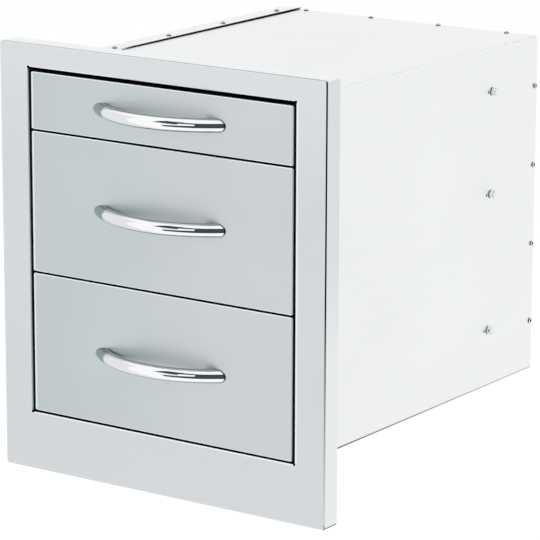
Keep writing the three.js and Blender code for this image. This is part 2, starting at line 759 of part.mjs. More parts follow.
function addSlides(unit, row) {
  const members = [
    ['outer_rail', buildOuterMember(), 'zinc'],
    ['intermediate_rail', buildMiddleMember(), 'zinc'],
    ['inner_rail', buildInnerMember(), 'zinc'],
    ['outer_cage', buildCage(OUTER_CAGE_WEB, OUTER_BALL_LINE, outerBallHeight), 'cage'],
    ['inner_cage', buildCage(INNER_CAGE_WEB, INNER_BALL_LINE, innerBallHeight), 'cage'],
    ['slide_bolt', buildSlideBolt(), 'bolt'],
  ];
  for (const { side, place, turn } of slideSides) {
    const slide = new THREE.Group();
    slide.position.set(place, 0, row.slideHeight);
    slide.rotation.y = turn;
    for (const [piece, solid, finish] of members) {
      slide.add(mesh(`${row.name}_${piece}_${side}`, solid, finish));
    }
    unit.add(slide);
  }
}

function addDrawer(unit, row) {
  const drawer = new THREE.Group();
  drawer.position.z = row.low;
  drawer.add(mesh(`${row.name}_front`, buildFront(row.height), 'satin'));
  drawer.add(mesh(`${row.name}_front_liner`, buildLiner(row.height), 'satin'));
  drawer.add(mesh(`${row.name}_tray`, buildTray(row.height, row.headroom), 'sheet'));
  const handle = mesh(`${row.name}_handle`, buildHandle(), 'polished');
  handle.position.z = row.height / 2;
  drawer.add(handle);
  for (const { side, place } of slideSides) {
    const screw = mesh(`${row.name}_handle_screw_${side}`, buildHandleScrew(), 'bolt');
    screw.position.set((Math.sign(place) * handleScrewSpan) / 2, 0, row.height / 2);
    drawer.add(screw);
  }
  unit.add(drawer);
}

function buildUnit() {
  const unit = new THREE.Group();
  unit.position.z = originRise;
  const slideHeights = drawerRows.map((row) => row.slideHeight);
  unit.add(mesh('face_frame', buildFaceFrame(), 'brushed'));
  unit.add(mesh('upper_shell', buildShell(slideHeights, false), 'sheet'));
  unit.add(mesh('lower_shell', buildShell(slideHeights, true), 'sheet'));
  unit.add(mesh('back_panel', buildBackPanel(), 'sheet'));
  for (const row of drawerRows) {
    addDrawer(unit, row);
    addSlides(unit, row);
  }
  return unit;
}

export default buildUnit();
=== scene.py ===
"""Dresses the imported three-drawer stainless unit of an outdoor kitchen.

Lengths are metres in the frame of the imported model: X runs to the right seen from the
front, Y into the box, Z up. The folded sheets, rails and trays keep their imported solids
and gain a finish. Handles, cap nuts and ball cages are built finer here and stand in for
theirs. The small screws of the box, the slides and the trays are added, and so are the
welds behind the corner notches of the face frame.
"""

import json
import logging
import math
from collections.abc import Callable, Iterable, Sequence
from dataclasses import dataclass
from enum import Enum
from functools import cached_property
from itertools import pairwise, product
from typing import NamedTuple

import bmesh
import bpy
from mathutils import Matrix, Vector


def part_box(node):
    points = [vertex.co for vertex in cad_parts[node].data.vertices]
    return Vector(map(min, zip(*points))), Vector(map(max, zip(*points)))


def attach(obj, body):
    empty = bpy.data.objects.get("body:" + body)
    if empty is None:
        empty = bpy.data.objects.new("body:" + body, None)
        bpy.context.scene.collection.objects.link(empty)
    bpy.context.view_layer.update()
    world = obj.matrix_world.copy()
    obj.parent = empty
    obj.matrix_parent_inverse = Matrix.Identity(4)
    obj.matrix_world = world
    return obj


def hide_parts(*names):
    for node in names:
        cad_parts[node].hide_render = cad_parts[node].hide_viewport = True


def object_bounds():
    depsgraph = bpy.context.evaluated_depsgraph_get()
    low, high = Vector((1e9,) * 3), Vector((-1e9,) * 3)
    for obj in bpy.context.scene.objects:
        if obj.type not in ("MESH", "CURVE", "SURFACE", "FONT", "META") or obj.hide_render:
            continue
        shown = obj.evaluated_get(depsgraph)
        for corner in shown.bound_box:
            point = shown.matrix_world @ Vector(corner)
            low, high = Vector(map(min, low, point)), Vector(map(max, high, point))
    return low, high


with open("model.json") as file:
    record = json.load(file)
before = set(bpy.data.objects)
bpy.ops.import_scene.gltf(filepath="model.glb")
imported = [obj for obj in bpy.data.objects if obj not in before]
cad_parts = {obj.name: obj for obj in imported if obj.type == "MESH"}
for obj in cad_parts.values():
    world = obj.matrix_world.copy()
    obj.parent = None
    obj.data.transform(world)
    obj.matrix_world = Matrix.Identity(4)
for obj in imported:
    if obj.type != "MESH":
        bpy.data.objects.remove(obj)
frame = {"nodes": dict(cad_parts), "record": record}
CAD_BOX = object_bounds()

LOG = logging.getLogger("drawer_unit")

MM = 0.001
OPENING_MARGINS = (39 * MM, 26.5 * MM, 66.5 * MM)  # beside, above and below the opening
FULL_TURN = 2 * math.pi
QUARTER_TURN = math.pi / 2
GOLDEN_TURN = math.pi * (3 - math.sqrt(5))
SMOOTH_LIMIT = math.radians(50)
WHITE = (1.0, 1.0, 1.0, 1.0)
MIX_INPUTS = (0, 6, 7)  # of a Mix node: the share and the two colours
MIX_RESULT = 2

Ring = list[Vector]
Tone = tuple[int, int, int]
Span = tuple[float, float]
Colour = bpy.types.NodeSocket | tuple[float, ...]
Material = bpy.types.Material
Object = bpy.types.Object


class Side(Enum):
    """The two sides of the unit, seen from the front."""

    LEFT = -1
    RIGHT = 1

    @property
    def word(self) -> str:
        """The side as it stands in a piece's name."""
        return self.name.lower()

    @property
    def outwards(self) -> Vector:
        """The way out of the unit on this side."""
        return Vector((self.value, 0, 0))

    def outer(self, node: str) -> float:
        """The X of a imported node's face on this side."""
        low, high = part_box(node)
        return low.x if self is Side.LEFT else high.x

    def inner(self, node: str) -> float:
        """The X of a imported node's face towards the middle of the unit."""
        low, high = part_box(node)
        return high.x if self is Side.LEFT else low.x


class Row(Enum):
    """The drawers, by their place in the stack."""

    TOP = "top"
    MIDDLE = "middle"
    BOTTOM = "bottom"

    @property
    def drawer(self) -> str:
        """The body that the drawer's pieces ride on."""
        return f"{self.value}_drawer"

    def node(self, piece: str) -> str:
        """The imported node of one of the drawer's pieces."""
        return f"{self.value}_{piece}"


class Run(Enum):
    """The cages of a slide, by the rail on whose side they run."""

    OUTER = "outer"
    INNER = "inner"


class Axis(Enum):
    """An axis of the unit."""

    X = 0
    Z = 2


class Grain(Enum):
    """The way a sheet was brushed or rolled, as streaks a metre along X, Y and Z."""

    ACROSS = (14.0, 900.0, 900.0)
    DEEP = (900.0, 14.0, 900.0)
    EVEN = (420.0, 420.0, 420.0)


def opening() -> tuple[float, float, float]:
    """Finds the edges of the face frame's opening.

    Returns:
        Its half width and the heights of its lower and upper edge.
    """
    low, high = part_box("face_frame")
    side, above, below = OPENING_MARGINS
    return high.x - side, low.z + below, high.z - above


def linear(tone: Tone) -> tuple[float, ...]:
    """Turns a colour as a screen shows it into the shader's own scale.

    Args:
        tone: red, green and blue, each 0 to 255.

    Returns:
        Red, green, blue and a full alpha.
    """
    knee, slope, offset, power = 0.04045, 12.92, 0.055, 2.4
    shares = [level / 255 for level in tone]
    levels = [s / slope if s <= knee else ((s + offset) / (1 + offset)) ** power for s in shares]
    return (*levels, 1.0)


# Node wiring


def reckoned(operation: str) -> Callable[..., "Value"]:
    """An operator of values that adds a Math node."""
    return lambda value, *others: value.wiring.math(operation, value, *others)


@dataclass(frozen=True, eq=False)
class Value:
    """A number that changes over a surface, reckoned with like a plain one.

    A mask is a value from 0 to 1: & is where both of two masks hold, | where either does.
    """

    wiring: "Wiring"
    socket: bpy.types.NodeSocket

    __add__ = reckoned("ADD")
    __sub__ = reckoned("SUBTRACT")
    __mul__ = __and__ = reckoned("MULTIPLY")
    __truediv__ = reckoned("DIVIDE")
    __or__ = reckoned("MAXIMUM")
    __gt__ = reckoned("GREATER_THAN")
    __lt__ = reckoned("LESS_THAN")
    __abs__ = reckoned("ABSOLUTE")
    sign = reckoned("SIGN")

    def span(self, start: object, end: object, low: object = 0.0, high: object = 1.0) -> "Value":
        """Maps it from one span to another, held at its ends.

        Args:
            start: where the first span starts.
            end: where it ends.
            low: the result at the start.
            high: the result at the end.

        Returns:
            The mapped value.
        """
        names = ("Value", "From Min", "From Max", "To Min", "To Max")
        sources = dict(zip(names, (self, start, end, low, high)))
        node = self.wiring.node("ShaderNodeMapRange", sources, clamp=True)
        return Value(self.wiring, node.outputs["Result"])


class Axes(NamedTuple):
    """The three parts of a vector."""

    x: Value
    y: Value
    z: Value


class Wiring:
    """Adds nodes to one tree and links them."""

    def __init__(self, tree: bpy.types.NodeTree) -> None:
        """Takes the tree that the nodes go into."""
        self.tree = tree

    @classmethod
    def of(cls, block: bpy.types.ID) -> "Wiring":
        """Empties the node tree of a new material or world.

        Args:
            block: the material or world.

        Returns:
            The wiring of its tree.
        """
        block.use_nodes = True
        block.node_tree.nodes.clear()
        return cls(block.node_tree)

    def feed(self, socket: bpy.types.NodeSocket, source: object) -> None:
        """Links an input to an output, or writes a plain value on it.

        Args:
            socket: the input.
            source: a value of this tree, an output or something plain.
        """
        source = source.socket if isinstance(source, Value) else source
        if isinstance(source, bpy.types.NodeSocket):
            self.tree.links.new(source, socket)
        else:
            socket.default_value = source

    def node(
        self, kind: str, sources: dict[str | int, object] | None = None, **settings: object
    ) -> bpy.types.Node:
        """Adds a node.

        Args:
            kind: its type, as Blender names it.
            sources: what feeds its inputs, by their name or number.
            settings: its own options.

        Returns:
            The node.
        """
        made = self.tree.nodes.new(kind)
        for name, value in settings.items():
            setattr(made, name, value)
        for name, source in (sources or {}).items():
            self.feed(made.inputs[name], source)
        return made

    def math(self, operation: str, *terms: object) -> Value:
        """The result of a Math node."""
        node = self.node("ShaderNodeMath", dict(enumerate(terms)), operation=operation)
        return Value(self, node.outputs[0])

    def vector(self, operation: str, *terms: object) -> bpy.types.bpy_prop_collection:
        """The outputs of a Vector Math node."""
        return self.node(
            "ShaderNodeVectorMath", dict(enumerate(terms)), operation=operation
        ).outputs

    def axes(self, vector: object) -> Axes:
        """The three parts of a vector."""
        parts = self.node("ShaderNodeSeparateXYZ", {"Vector": vector}).outputs
        return Axes(*(Value(self, part) for part in parts))

    def noise(self, place: object, scale: object, detail: float, roughness: float = 0.5) -> Value:
        """The value of a noise texture."""
        sources = {"Vector": place, "Scale": scale, "Detail": detail, "Roughness": roughness}
        return Value(self, self.node("ShaderNodeTexNoise", sources).outputs[0])

    def mixed(self, share: object, first: Colour | Tone, second: Colour | Tone) -> Colour:
        """Mixes two colours.

        Args:
            share: how much of the second.
            first: a colour, or a tone of three levels.
            second: the same.

        Returns:
            The mixed colour.
        """
        colours = [
            linear(end) if isinstance(end, tuple) and len(end) == 3 else end
            for end in (first, second)
        ]
        sources = dict(zip(MIX_INPUTS, (share, *colours)))
        node = self.node("ShaderNodeMix", sources, data_type="RGBA", clamp_factor=True)
        return node.outputs[MIX_RESULT]

    def surface(self, shader: bpy.types.Node, kind: str = "Material") -> None:
        """Shows a shader as the surface of the material or world."""
        self.node(f"ShaderNodeOutput{kind}", {"Surface": shader.outputs[0]})


class Effect:
    """A node group that several finishes share, with named inputs and outputs."""

    def __init__(self, name: str, inputs: dict[str, object], outputs: Sequence[str]) -> None:
        """Makes the group with nothing yet between its inputs and outputs.

        Args:
            name: the group's name.
            inputs: each input's name and its own value, a number or a vector.
            outputs: the names of the values that it gives.
        """
        self.tree = bpy.data.node_groups.new(name, "ShaderNodeTree")
        for label, value in inputs.items():
            kind = "NodeSocketFloat" if isinstance(value, float) else "NodeSocketVector"
            socket = self.tree.interface.new_socket(label, in_out="INPUT", socket_type=kind)
            socket.default_value = value
        for label in outputs:
            self.tree.interface.new_socket(label, in_out="OUTPUT", socket_type="NodeSocketFloat")
        self.wiring = Wiring(self.tree)
        entry = self.wiring.node("NodeGroupInput").outputs
        self.given = {label: Value(self.wiring, entry[label]) for label in inputs}
        self.results = self.wiring.node("NodeGroupOutput").inputs

    def give(self, label: str, source: Value) -> None:
        """Feeds one of the group's outputs."""
        self.wiring.feed(self.results[label], source)

    def placed(self, wiring: Wiring, **sources: object) -> dict[str, Value]:
        """Puts the group into a material.

        Args:
            wiring: the material's wiring.
            sources: what feeds each input, by its name in lower case.

        Returns:
            The group's values in that material.
        """
        named = {label.capitalize(): source for label, source in sources.items()}
        node = wiring.node("ShaderNodeGroup", named, node_tree=self.tree)
        return {socket.name: Value(wiring, socket) for socket in node.outputs}


class SheetEffects:
    """The effects of worked steel: grain, clouding, painted highlights on edges and folds, painted
    shade in gaps, cut edges.
    """

    ORIGIN = (0.0, 0.0, 0.0)
    FINE_STREAKS = (1.0, 3.0, 0.7)  # scale, detail and roughness of their noise
    BROAD_STREAKS = (0.13, 2.0)
    FINE_WEIGHT = 0.6  # of the fine streaks, beside the broad ones
    STREAK_SPAN = (0.32, 0.68)
    CLOUD_DETAIL = 2.0
    CLOUD_SPAN = (0.3, 0.7)
    SMEAR_RATIO = 6.0  # smears for each cloud
    SMEAR_NOISE = (4.0, 0.6)  # detail and roughness
    SMEAR_SPAN = (0.42, 0.72)
    FOLD_SPAN = (0.985, 0.9)  # the greatest part of a normal, from flat into a fold
    EDGE_SPAN = (0.995, 0.9)  # the turn of a rounded normal, as a cosine
    EDGE_SAMPLES = 6
    GAP_REACH = 0.012  # how near the surroundings are that shade a gap
    GAP_START = 1.4  # the open share where the shade starts, in the limits where it is full
    GAP_SAMPLES = 12
    SIDEWAYS = 0.85  # the least X of a normal that faces sideways

    def __init__(self) -> None:
        """Builds each group once."""
        self.brushing = self._brushing()
        self.clouding = self._clouding()
        self.rubbed_edges = self._rubbed_edges()
        self.folds = self._folds()
        self.shut_gaps = self._shut_gaps()
        self.cut_edges = self._cut_edges()

    def _brushing(self) -> Effect:
        """Builds fine streaks over broader ones, drawn out along the grain.

        Returns:
            The group.
        """
        inputs = {"Place": self.ORIGIN, "Stretch": (1.0, 1.0, 1.0)}
        effect = Effect("brushed grain", inputs, ("Streaks", "Height"))
        given, wiring = effect.given, effect.wiring
        drawn = wiring.vector("MULTIPLY", given["Place"], given["Stretch"])[0]
        fine = wiring.noise(drawn, *self.FINE_STREAKS)
        broad = wiring.noise(drawn, *self.BROAD_STREAKS)
        both = fine * self.FINE_WEIGHT + broad * (1 - self.FINE_WEIGHT)
        effect.give("Streaks", both.span(*self.STREAK_SPAN))
        effect.give("Height", fine)
        return effect

    def _clouding(self) -> Effect:
        """Builds slow changes of tone, as a sheet has from rolling, polishing and handling.

        Returns:
            The group.
        """
        inputs = {"Place": self.ORIGIN, "Scale": 5.0}
        effect = Effect("sheet clouding", inputs, ("Cloud", "Smear"))
        given, wiring = effect.given, effect.wiring
        cloud = wiring.noise(given["Place"], given["Scale"], self.CLOUD_DETAIL)
        effect.give("Cloud", cloud.span(*self.CLOUD_SPAN))
        finer = given["Scale"] * self.SMEAR_RATIO
        smear = wiring.noise(given["Place"], finer, *self.SMEAR_NOISE)
        effect.give("Smear", smear.span(*self.SMEAR_SPAN))
        return effect

    def _folds(self) -> Effect:
        """Builds a mask over the round folds of a squared sheet, where it leaves the axes.

        Returns:
            The group.
        """
        effect = Effect("round folds", {"Facing": (0.0, 0.0, 1.0)}, ("Mask",))
        x, y, z = effect.wiring.axes(effect.wiring.vector("ABSOLUTE", effect.given["Facing"])[0])
        effect.give("Mask", (x | y | z).span(*self.FOLD_SPAN))
        return effect

    def _rubbed_edges(self) -> Effect:
        """Builds a mask over sharp edges, where the finish paints a highlight.

        Returns:
            The group.
        """
        effect = Effect("rubbed edges", {"Radius": MM}, ("Mask",))
        wiring = effect.wiring
        sources = {"Radius": effect.given["Radius"]}
        rounded = wiring.node("ShaderNodeBevel", sources, samples=self.EDGE_SAMPLES)
        true = wiring.node("ShaderNodeNewGeometry").outputs["Normal"]
        same = wiring.vector("DOT_PRODUCT", rounded.outputs[0], true)["Value"]
        effect.give("Mask", Value(wiring, same).span(*self.EDGE_SPAN))
        return effect

    def _shut_gaps(self) -> Effect:
        """Builds a mask deep in narrow gaps, where the finish paints shade.

        Returns:
            The group.
        """
        effect = Effect("shut gaps", {"Reach": self.GAP_REACH, "Limit": 0.18}, ("Mask",))
        sources = {"Distance": effect.given["Reach"]}
        kind = "ShaderNodeAmbientOcclusion"
        node = effect.wiring.node(kind, sources, samples=self.GAP_SAMPLES)
        limit = effect.given["Limit"]
        lit = Value(effect.wiring, node.outputs["AO"])
        effect.give("Mask", lit.span(limit * self.GAP_START, limit))
        return effect

    def _cut_edges(self) -> Effect:
        """Builds a mask on the laps' sheared edges, which face sideways far from the middle.

        Returns:
            The group.
        """
        inputs = {"Place": self.ORIGIN, "Middle": 0.25, "Reach": 0.2}
        effect = Effect("cut edges", inputs, ("Mask",))
        place = effect.wiring.axes(effect.given["Place"])
        normal = effect.wiring.node("ShaderNodeNewGeometry").outputs["Normal"]
        sideways = abs(effect.wiring.axes(normal).x) > self.SIDEWAYS
        away = abs(place.z - effect.given["Middle"])
        effect.give("Mask", sideways & (away > effect.given["Reach"]))
        return effect


# Finishes


Layer = tuple[Value, Colour | Tone]  # a mask and what lies where it holds


class Surface:
    """The point of a sheet that a finish colours."""

    def __init__(self, wiring: Wiring, effects: SheetEffects) -> None:
        """Takes the point's place and its normal.

        Args:
            wiring: the material's wiring.
            effects: the shared node groups.
        """
        self.wiring = wiring
        self.effects = effects
        self.place = wiring.node("ShaderNodeTexCoord").outputs["Object"]
        self.facing = wiring.node("ShaderNodeNewGeometry").outputs["Normal"]

    @cached_property
    def where(self) -> Axes:
        """The point's X, Y and Z."""
        return self.wiring.axes(self.place)

    @cached_property
    def turned(self) -> Axes:
        """The X, Y and Z of its normal."""
        return self.wiring.axes(self.facing)


@dataclass(frozen=True)
class SteelFinish:
    """One worked metal finish."""

    name: str
    tone: Tone  # the colour under plain light
    worn_tone: Tone = (250, 251, 252)  # painted highlight along edges and folds
    roughness: float = 0.32  # the least
    roughness_spread: float = 0.1  # how much the streaks and smears add to it
    grain: Grain = Grain.ACROSS
    streak_share: float = 0.03  # how far the streaks shift the colour
    cloud_share: float = 0.02  # how far the clouding does
    groove: float = 0.00001  # depth of the brushing
    edge_radius: float = 0.0009  # how wide the painted edge highlights are
    folded: bool = True  # whether its round folds get the painted highlight too
    cloud_scale: float = 5.0  # clouds a metre
    gap_tone: Tone = (5, 6, 7)  # painted shade deep in gaps
    gap_limit: float = 0.2  # open share of the surroundings that counts as deep in a gap
    side_gap_limit: float = 0.11  # the same where the sheet faces sideways to more light
    sideways_turn: Span = (0.5, 0.9)  # X of the normal, from one limit to the other
    far_tone: Tone | None = None  # painted light: the colour that the sheet drifts to across it, if it does
    drift_axis: Axis = Axis.X
    drift_ends: Span = (0.0, 1.0)  # where the drift starts and ends on that axis

    @staticmethod
    def shaded(tone: Tone, share: float) -> tuple[float, ...]:
        """A tone's colour, lighter or darker by a share."""
        return (*[min(1.0, level * (1 + share)) for level in linear(tone)[:3]], 1.0)

    def build(self, effects: SheetEffects) -> Material:
        """Makes the material.

        Args:
            effects: the shared node groups.

        Returns:
            The material.
        """
        material = bpy.data.materials.new(self.name)
        wiring = Wiring.of(material)
        at = Surface(wiring, effects)
        brushing = effects.brushing.placed(wiring, place=at.place, stretch=self.grain.value)
        clouding = effects.clouding.placed(wiring, place=at.place, scale=self.cloud_scale)
        # painted highlight over sharp edges and round folds
        highlit = effects.rubbed_edges.placed(wiring, radius=self.edge_radius)["Mask"]
        if self.folded:
            highlit |= effects.folds.placed(wiring, facing=at.facing)["Mask"]
        sideways = abs(at.turned.x).span(*self.sideways_turn)
        limit = sideways.span(0.0, 1.0, self.gap_limit, self.side_gap_limit)
        # painted shade deep in narrow gaps
        gaps = effects.shut_gaps.placed(wiring, limit=limit)["Mask"]
        colour = self.worked(at, brushing["Streaks"], clouding["Cloud"])
        for mask, tone in ((highlit, self.worn_tone), *self.layers(at), (gaps, self.gap_tone)):
            colour = wiring.mixed(mask, colour, tone)
        roughness: object = self.roughness
        if self.roughness_spread:
            unevenness = brushing["Streaks"] * 0.5 + clouding["Smear"] * 0.5
            most = self.roughness + self.roughness_spread
            roughness = unevenness.span(0.0, 1.0, self.roughness, most)
        bump = wiring.node("ShaderNodeBump", {
            "Strength": 1.0, "Distance": self.groove, "Height": brushing["Height"],
        })
        wiring.surface(wiring.node("ShaderNodeBsdfPrincipled", {
            "Base Color": colour,
            "Metallic": 1.0,
            "Roughness": roughness,
            "Normal": bump.outputs["Normal"],
        }))
        return material

    def worked(self, at: Surface, streaks: Value, cloud: Value) -> Colour:
        """Shifts the finish's colour by its painted light drift, grain and clouding.

        Args:
            at: the point.
            streaks: the grain, 0 to 1.
            cloud: the clouding, 0 to 1.

        Returns:
            The colour.
        """
        shift = self.streak_share + self.cloud_share
        weight = self.streak_share / shift
        ways = (-1, 1)
        ends = [self.shaded(self.tone, way * shift) for way in ways]
        if self.far_tone:
            drift = at.where[self.drift_axis.value].span(*self.drift_ends)
            ends = [
                at.wiring.mixed(drift, end, self.shaded(self.far_tone, way * shift))
                for way, end in zip(ways, ends)
            ]
        return at.wiring.mixed(streaks * weight + cloud * (1 - weight), *ends)

    def layers(self, at: Surface) -> list[Layer]:
        """What only this piece has over its steel and painted highlights: nothing, if it is plain.
        """
        return []


@dataclass(frozen=True)
class FaceFinish(SteelFinish):
    """The face frame's sheet, brushed on its face, with light and shade painted on its returns,
    folds and opening.
    """

    return_turn: Span = (0.6, 0.3)  # Y of the normal, from the face to the returns
    top_return_tone: Tone = (239, 241, 242)  # painted light on the returns that face up or down
    level_turn: Span = (0.3, 0.7)  # Z of the normal, from the side returns to those
    low_return_tone: Tone = (234, 235, 235)  # painted light on the side returns below
    high_return_tone: Tone = (219, 223, 225)  # and above
    return_drift: Span = (0.36, 0.62)  # from the one to the other, in shares of the top's height
    line_tone: Tone = (14, 20, 24)  # painted shade down the outer right fold, at its top
    line_slant: Span = (0.17, 0.28)  # X times Y of the normal, into that line
    line_start: float = 0.3  # how much of the line there is at the bottom
    faint_line_tone: Tone = (176, 181, 184)  # painted shade along the other outer folds
    faint_slant: Span = (0.36, 0.47)
    line_width: float = 0.006  # how far in from the unit's side those folds reach
    corner_tone: Tone = (90, 98, 102)  # painted shade under the right return's lower corner
    corner_slant: Span = (-0.08, -0.25)  # X times Z of the normal, into that corner
    jamb_tone: Tone = (156, 166, 168)  # painted shade on the upright returns inside the opening
    jamb_turn: Span = (-0.1, -0.3)
    rim_tone: Tone = (240, 243, 245)  # painted highlight on the opening's right rim
    rim_turn: Span = (-0.5, -0.6)
    rim_width: float = 0.0032  # how far that rim reaches from the opening
    notch_tone: Tone = (8, 10, 12)  # painted shade inside the opening's corner notches
    notch_turn: Span = (0.8, 0.6)
    notch_reach: float = 0.0022  # how far a notch reaches from the opening's corner

    def layers(self, at: Surface) -> list[Layer]:
        """The returns' painted light, the painted shade along the outer folds, then the opening.

        Args:
            at: the point.

        Returns:
            The layers, from below up.
        """
        low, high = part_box("face_frame")
        where, turned, mixed = at.where, at.turned, at.wiring.mixed
        # painted light: returns lighter than the face, the side returns darker higher up
        height = where.z.span(*[share * high.z for share in self.return_drift])
        side = mixed(height, self.low_return_tone, self.high_return_tone)
        returns_light = mixed(abs(turned.z).span(*self.level_turn), side, self.top_return_tone)
        across, along = abs(turned.x * turned.y), abs(turned.z * turned.y)
        right = where.x > high.x - self.line_width
        left = where.x < low.x + self.line_width
        above = where.z > high.z - self.line_width
        below = where.z < low.z + self.line_width
        # painted shade along the left, top and bottom outer folds
        faint = (across | along).span(*self.faint_slant) & (left | above | below)
        # painted shade under the lower right corner
        corner = (turned.x * turned.z).span(*self.corner_slant) & below
        # painted shade down the right fold, fading towards the bottom
        fade = where.z.span(low.z, (low.z + high.z) / 2, self.line_start, 1.0)
        return [
            (abs(turned.y).span(*self.return_turn), returns_light),
            (faint, self.faint_line_tone),
            (corner, self.corner_tone),
            (across.span(*self.line_slant) & right & fade, self.line_tone),
            *self._opening(where, turned),
        ]

    def _opening(self, where: Axes, turned: Axes) -> list[Layer]:
        """Painted shade on the opening's upright returns and in its notches, and a painted
        highlight on its right rim.

        Args:
            where: the point's X, Y and Z.
            turned: the X, Y and Z of its normal.

        Returns:
            The layers, from below up.
        """
        side, bottom, top = opening()
        half_height = (top - bottom) / 2
        apart, level = abs(where.x), abs(where.z - (top + bottom) / 2)
        inwards = turned.x * where.x.sign()
        jamb = inwards.span(*self.jamb_turn) & (apart < side + self.rim_width)
        rim = (where.x > side - self.rim_width) & (where.x < side + self.rim_width)
        rim = rim & turned.y.span(*self.rim_turn) & (level < half_height)
        near = (abs(apart - side) | abs(level - half_height)) < self.notch_reach
        wall = abs(turned.y).span(*self.notch_turn)
        return [(jamb, self.jamb_tone), (rim, self.rim_tone), (near & wall, self.notch_tone)]


@dataclass(frozen=True)
class FrontFinish(SteelFinish):
    """A drawer front's sheet, with a painted highlight along its left edge and painted shade on its
    right fold.
    """

    left_tone: Tone = (236, 239, 242)  # painted highlight along the left edge
    left_width: float = 0.0034  # how far that reaches
    left_full: float = 0.8  # and how far it is at its brightest, as a share
    right_tone: Tone = (160, 169, 171)  # painted shade on the right fold
    right_turn: Span = (0.1, 0.3)

    def layers(self, at: Surface) -> list[Layer]:
        """The painted highlight on the left edge and the painted shade on the right fold.

        Args:
            at: the point.

        Returns:
            The layers, from below up.
        """
        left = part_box("top_front")[0].x
        ends = left + self.left_width, left + self.left_full * self.left_width
        return [
            (at.where.x.span(*ends), self.left_tone),
            (at.turned.x.span(*self.right_turn), self.right_tone),
        ]


@dataclass(frozen=True)
class BarFinish(SteelFinish):
    """A polished bar, with painted shade behind, below and round its feet, and a painted reflection
    on its left end.
    """

    back_tone: Tone = (146, 157, 160)  # painted shade on its back and its underside
    front_turn: Span = (-0.5, -0.25)  # Y of the normal, from the polished front to the edge
    back_turn: Span = (0.5, 0.3)  # and from behind
    under_turn: Span = (-0.62, -0.8)  # Z of the normal, into the underside
    end_tone: Tone = (164, 175, 179)  # painted reflection of the front on its left end
    end_slope: Span = (-0.53, -0.58)  # X over Y of the normal, into that end
    rim_tone: Tone = (92, 104, 108)  # painted shade round that end's outline
    rim_slope: Span = (-0.95, -1.2)
    foot_tone: Tone = (70, 82, 86)  # painted shade in the corner between foot and front
    corner: float = 0.0014  # how far that corner's painted shade reaches from the front
    corner_full: float = 1 / 3  # and how far it is full, as a share of that

    def layers(self, at: Surface) -> list[Layer]:
        """The painted reflection on the end, then painted shade on the back, round that end's
        outline and in the feet's corners.

        Args:
            at: the point.

        Returns:
            The layers, from below up.
        """
        seat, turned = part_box("top_handle")[1].y, at.turned
        edge = turned.y.span(*self.front_turn) & turned.y.span(*self.back_turn)
        # painted shade on the bar's back and underside
        dull = edge | turned.z.span(*self.under_turn)
        slope = turned.x / abs(turned.y)
        end = slope.span(*self.end_slope)
        # painted shade where the feet meet the front
        corner = at.where.y.span(seat - self.corner, seat - self.corner_full * self.corner)
        return [
            (end, self.end_tone),
            (dull, self.back_tone),
            ((dull & end) | slope.span(*self.rim_slope), self.rim_tone),
            (corner, self.foot_tone),
        ]


@dataclass(frozen=True)
class LappedFinish(SteelFinish):
    """The box's sheet, with painted shade on its laps' sheared edges and along and under its folds.
    """

    edge_tone: Tone = (16, 19, 22)  # painted shade on the sheared edge and beside the lap
    lap_depth: float = 0.0018  # how far the flange's edge stands in from the box's own
    lap_start: float = 0.107  # how far behind the face frame the lap begins to gape
    lap_full: float = 1.2  # where it gapes in full, as a share of that
    flange: float = 0.0285  # width of a lap
    lap_shadow: float = 0.0015  # how far its shadow reaches over the sheet below, at the back
    up_turn: Span = (0.85, 0.95)  # Z of the normal of the sheet that takes it
    fold_tone: Tone = (208, 213, 213)  # painted shade in a broken line along the upper folds
    fold_slant: Span = (0.3, 0.4)  # X times Z of the normal, into that line
    fold_turn: Span = (0.7, 0.8)
    line_scale: float = 12.0  # its breaks, as clouds a metre
    under_tone: Tone = (20, 24, 27)  # painted shade on the lower folds
    under_turn: Span = (-0.05, -0.25)
    under_ends: Span = (1.0, 0.25)  # how much of it they have at the front and at the back

    def layers(self, at: Surface) -> list[Layer]:
        """Painted shade on the sheared edges and in the laps' shadow, on the upper folds, then on
        the lower ones.

        Args:
            at: the point.

        Returns:
            The layers, from below up.
        """
        upper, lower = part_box("upper_shell"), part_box("lower_shell")
        low, high, front, back = upper[0].z, lower[1].z, upper[0].y, upper[1].y
        where, turned = at.where, at.turned
        middle, reach = (low + high) / 2, (high - low) / 2 - self.lap_depth
        cut = at.effects.cut_edges.placed(at.wiring, place=at.place, middle=middle, reach=reach)
        # painted shade on the sheared edges and beside each lap, where it gapes
        lap_edge = lower[0].x + self.flange
        shadow_end = where.y.span(self.lap_start, back, lap_edge, lap_edge + self.lap_shadow)
        shadow = (where.x > lap_edge - self.lap_depth) & (where.x < shadow_end)
        shadow = shadow & turned.z.span(*self.up_turn) & (where.z > middle)
        gape = where.y.span(self.lap_start, self.lap_full * self.lap_start)
        breaks = at.effects.clouding.placed(at.wiring, place=at.place, scale=self.line_scale)
        # painted shade along the upper folds
        fold = abs(turned.x * turned.z).span(*self.fold_slant) & turned.z.span(*self.fold_turn)
        # painted shade on the lower folds, fading towards the back
        under = turned.z.span(*self.under_turn) & where.y.span(front, back, *self.under_ends)
        return [
            ((cut["Mask"] | shadow) & gape, self.edge_tone),
            (fold & breaks["Smear"], self.fold_tone),
            (under, self.under_tone),
        ]


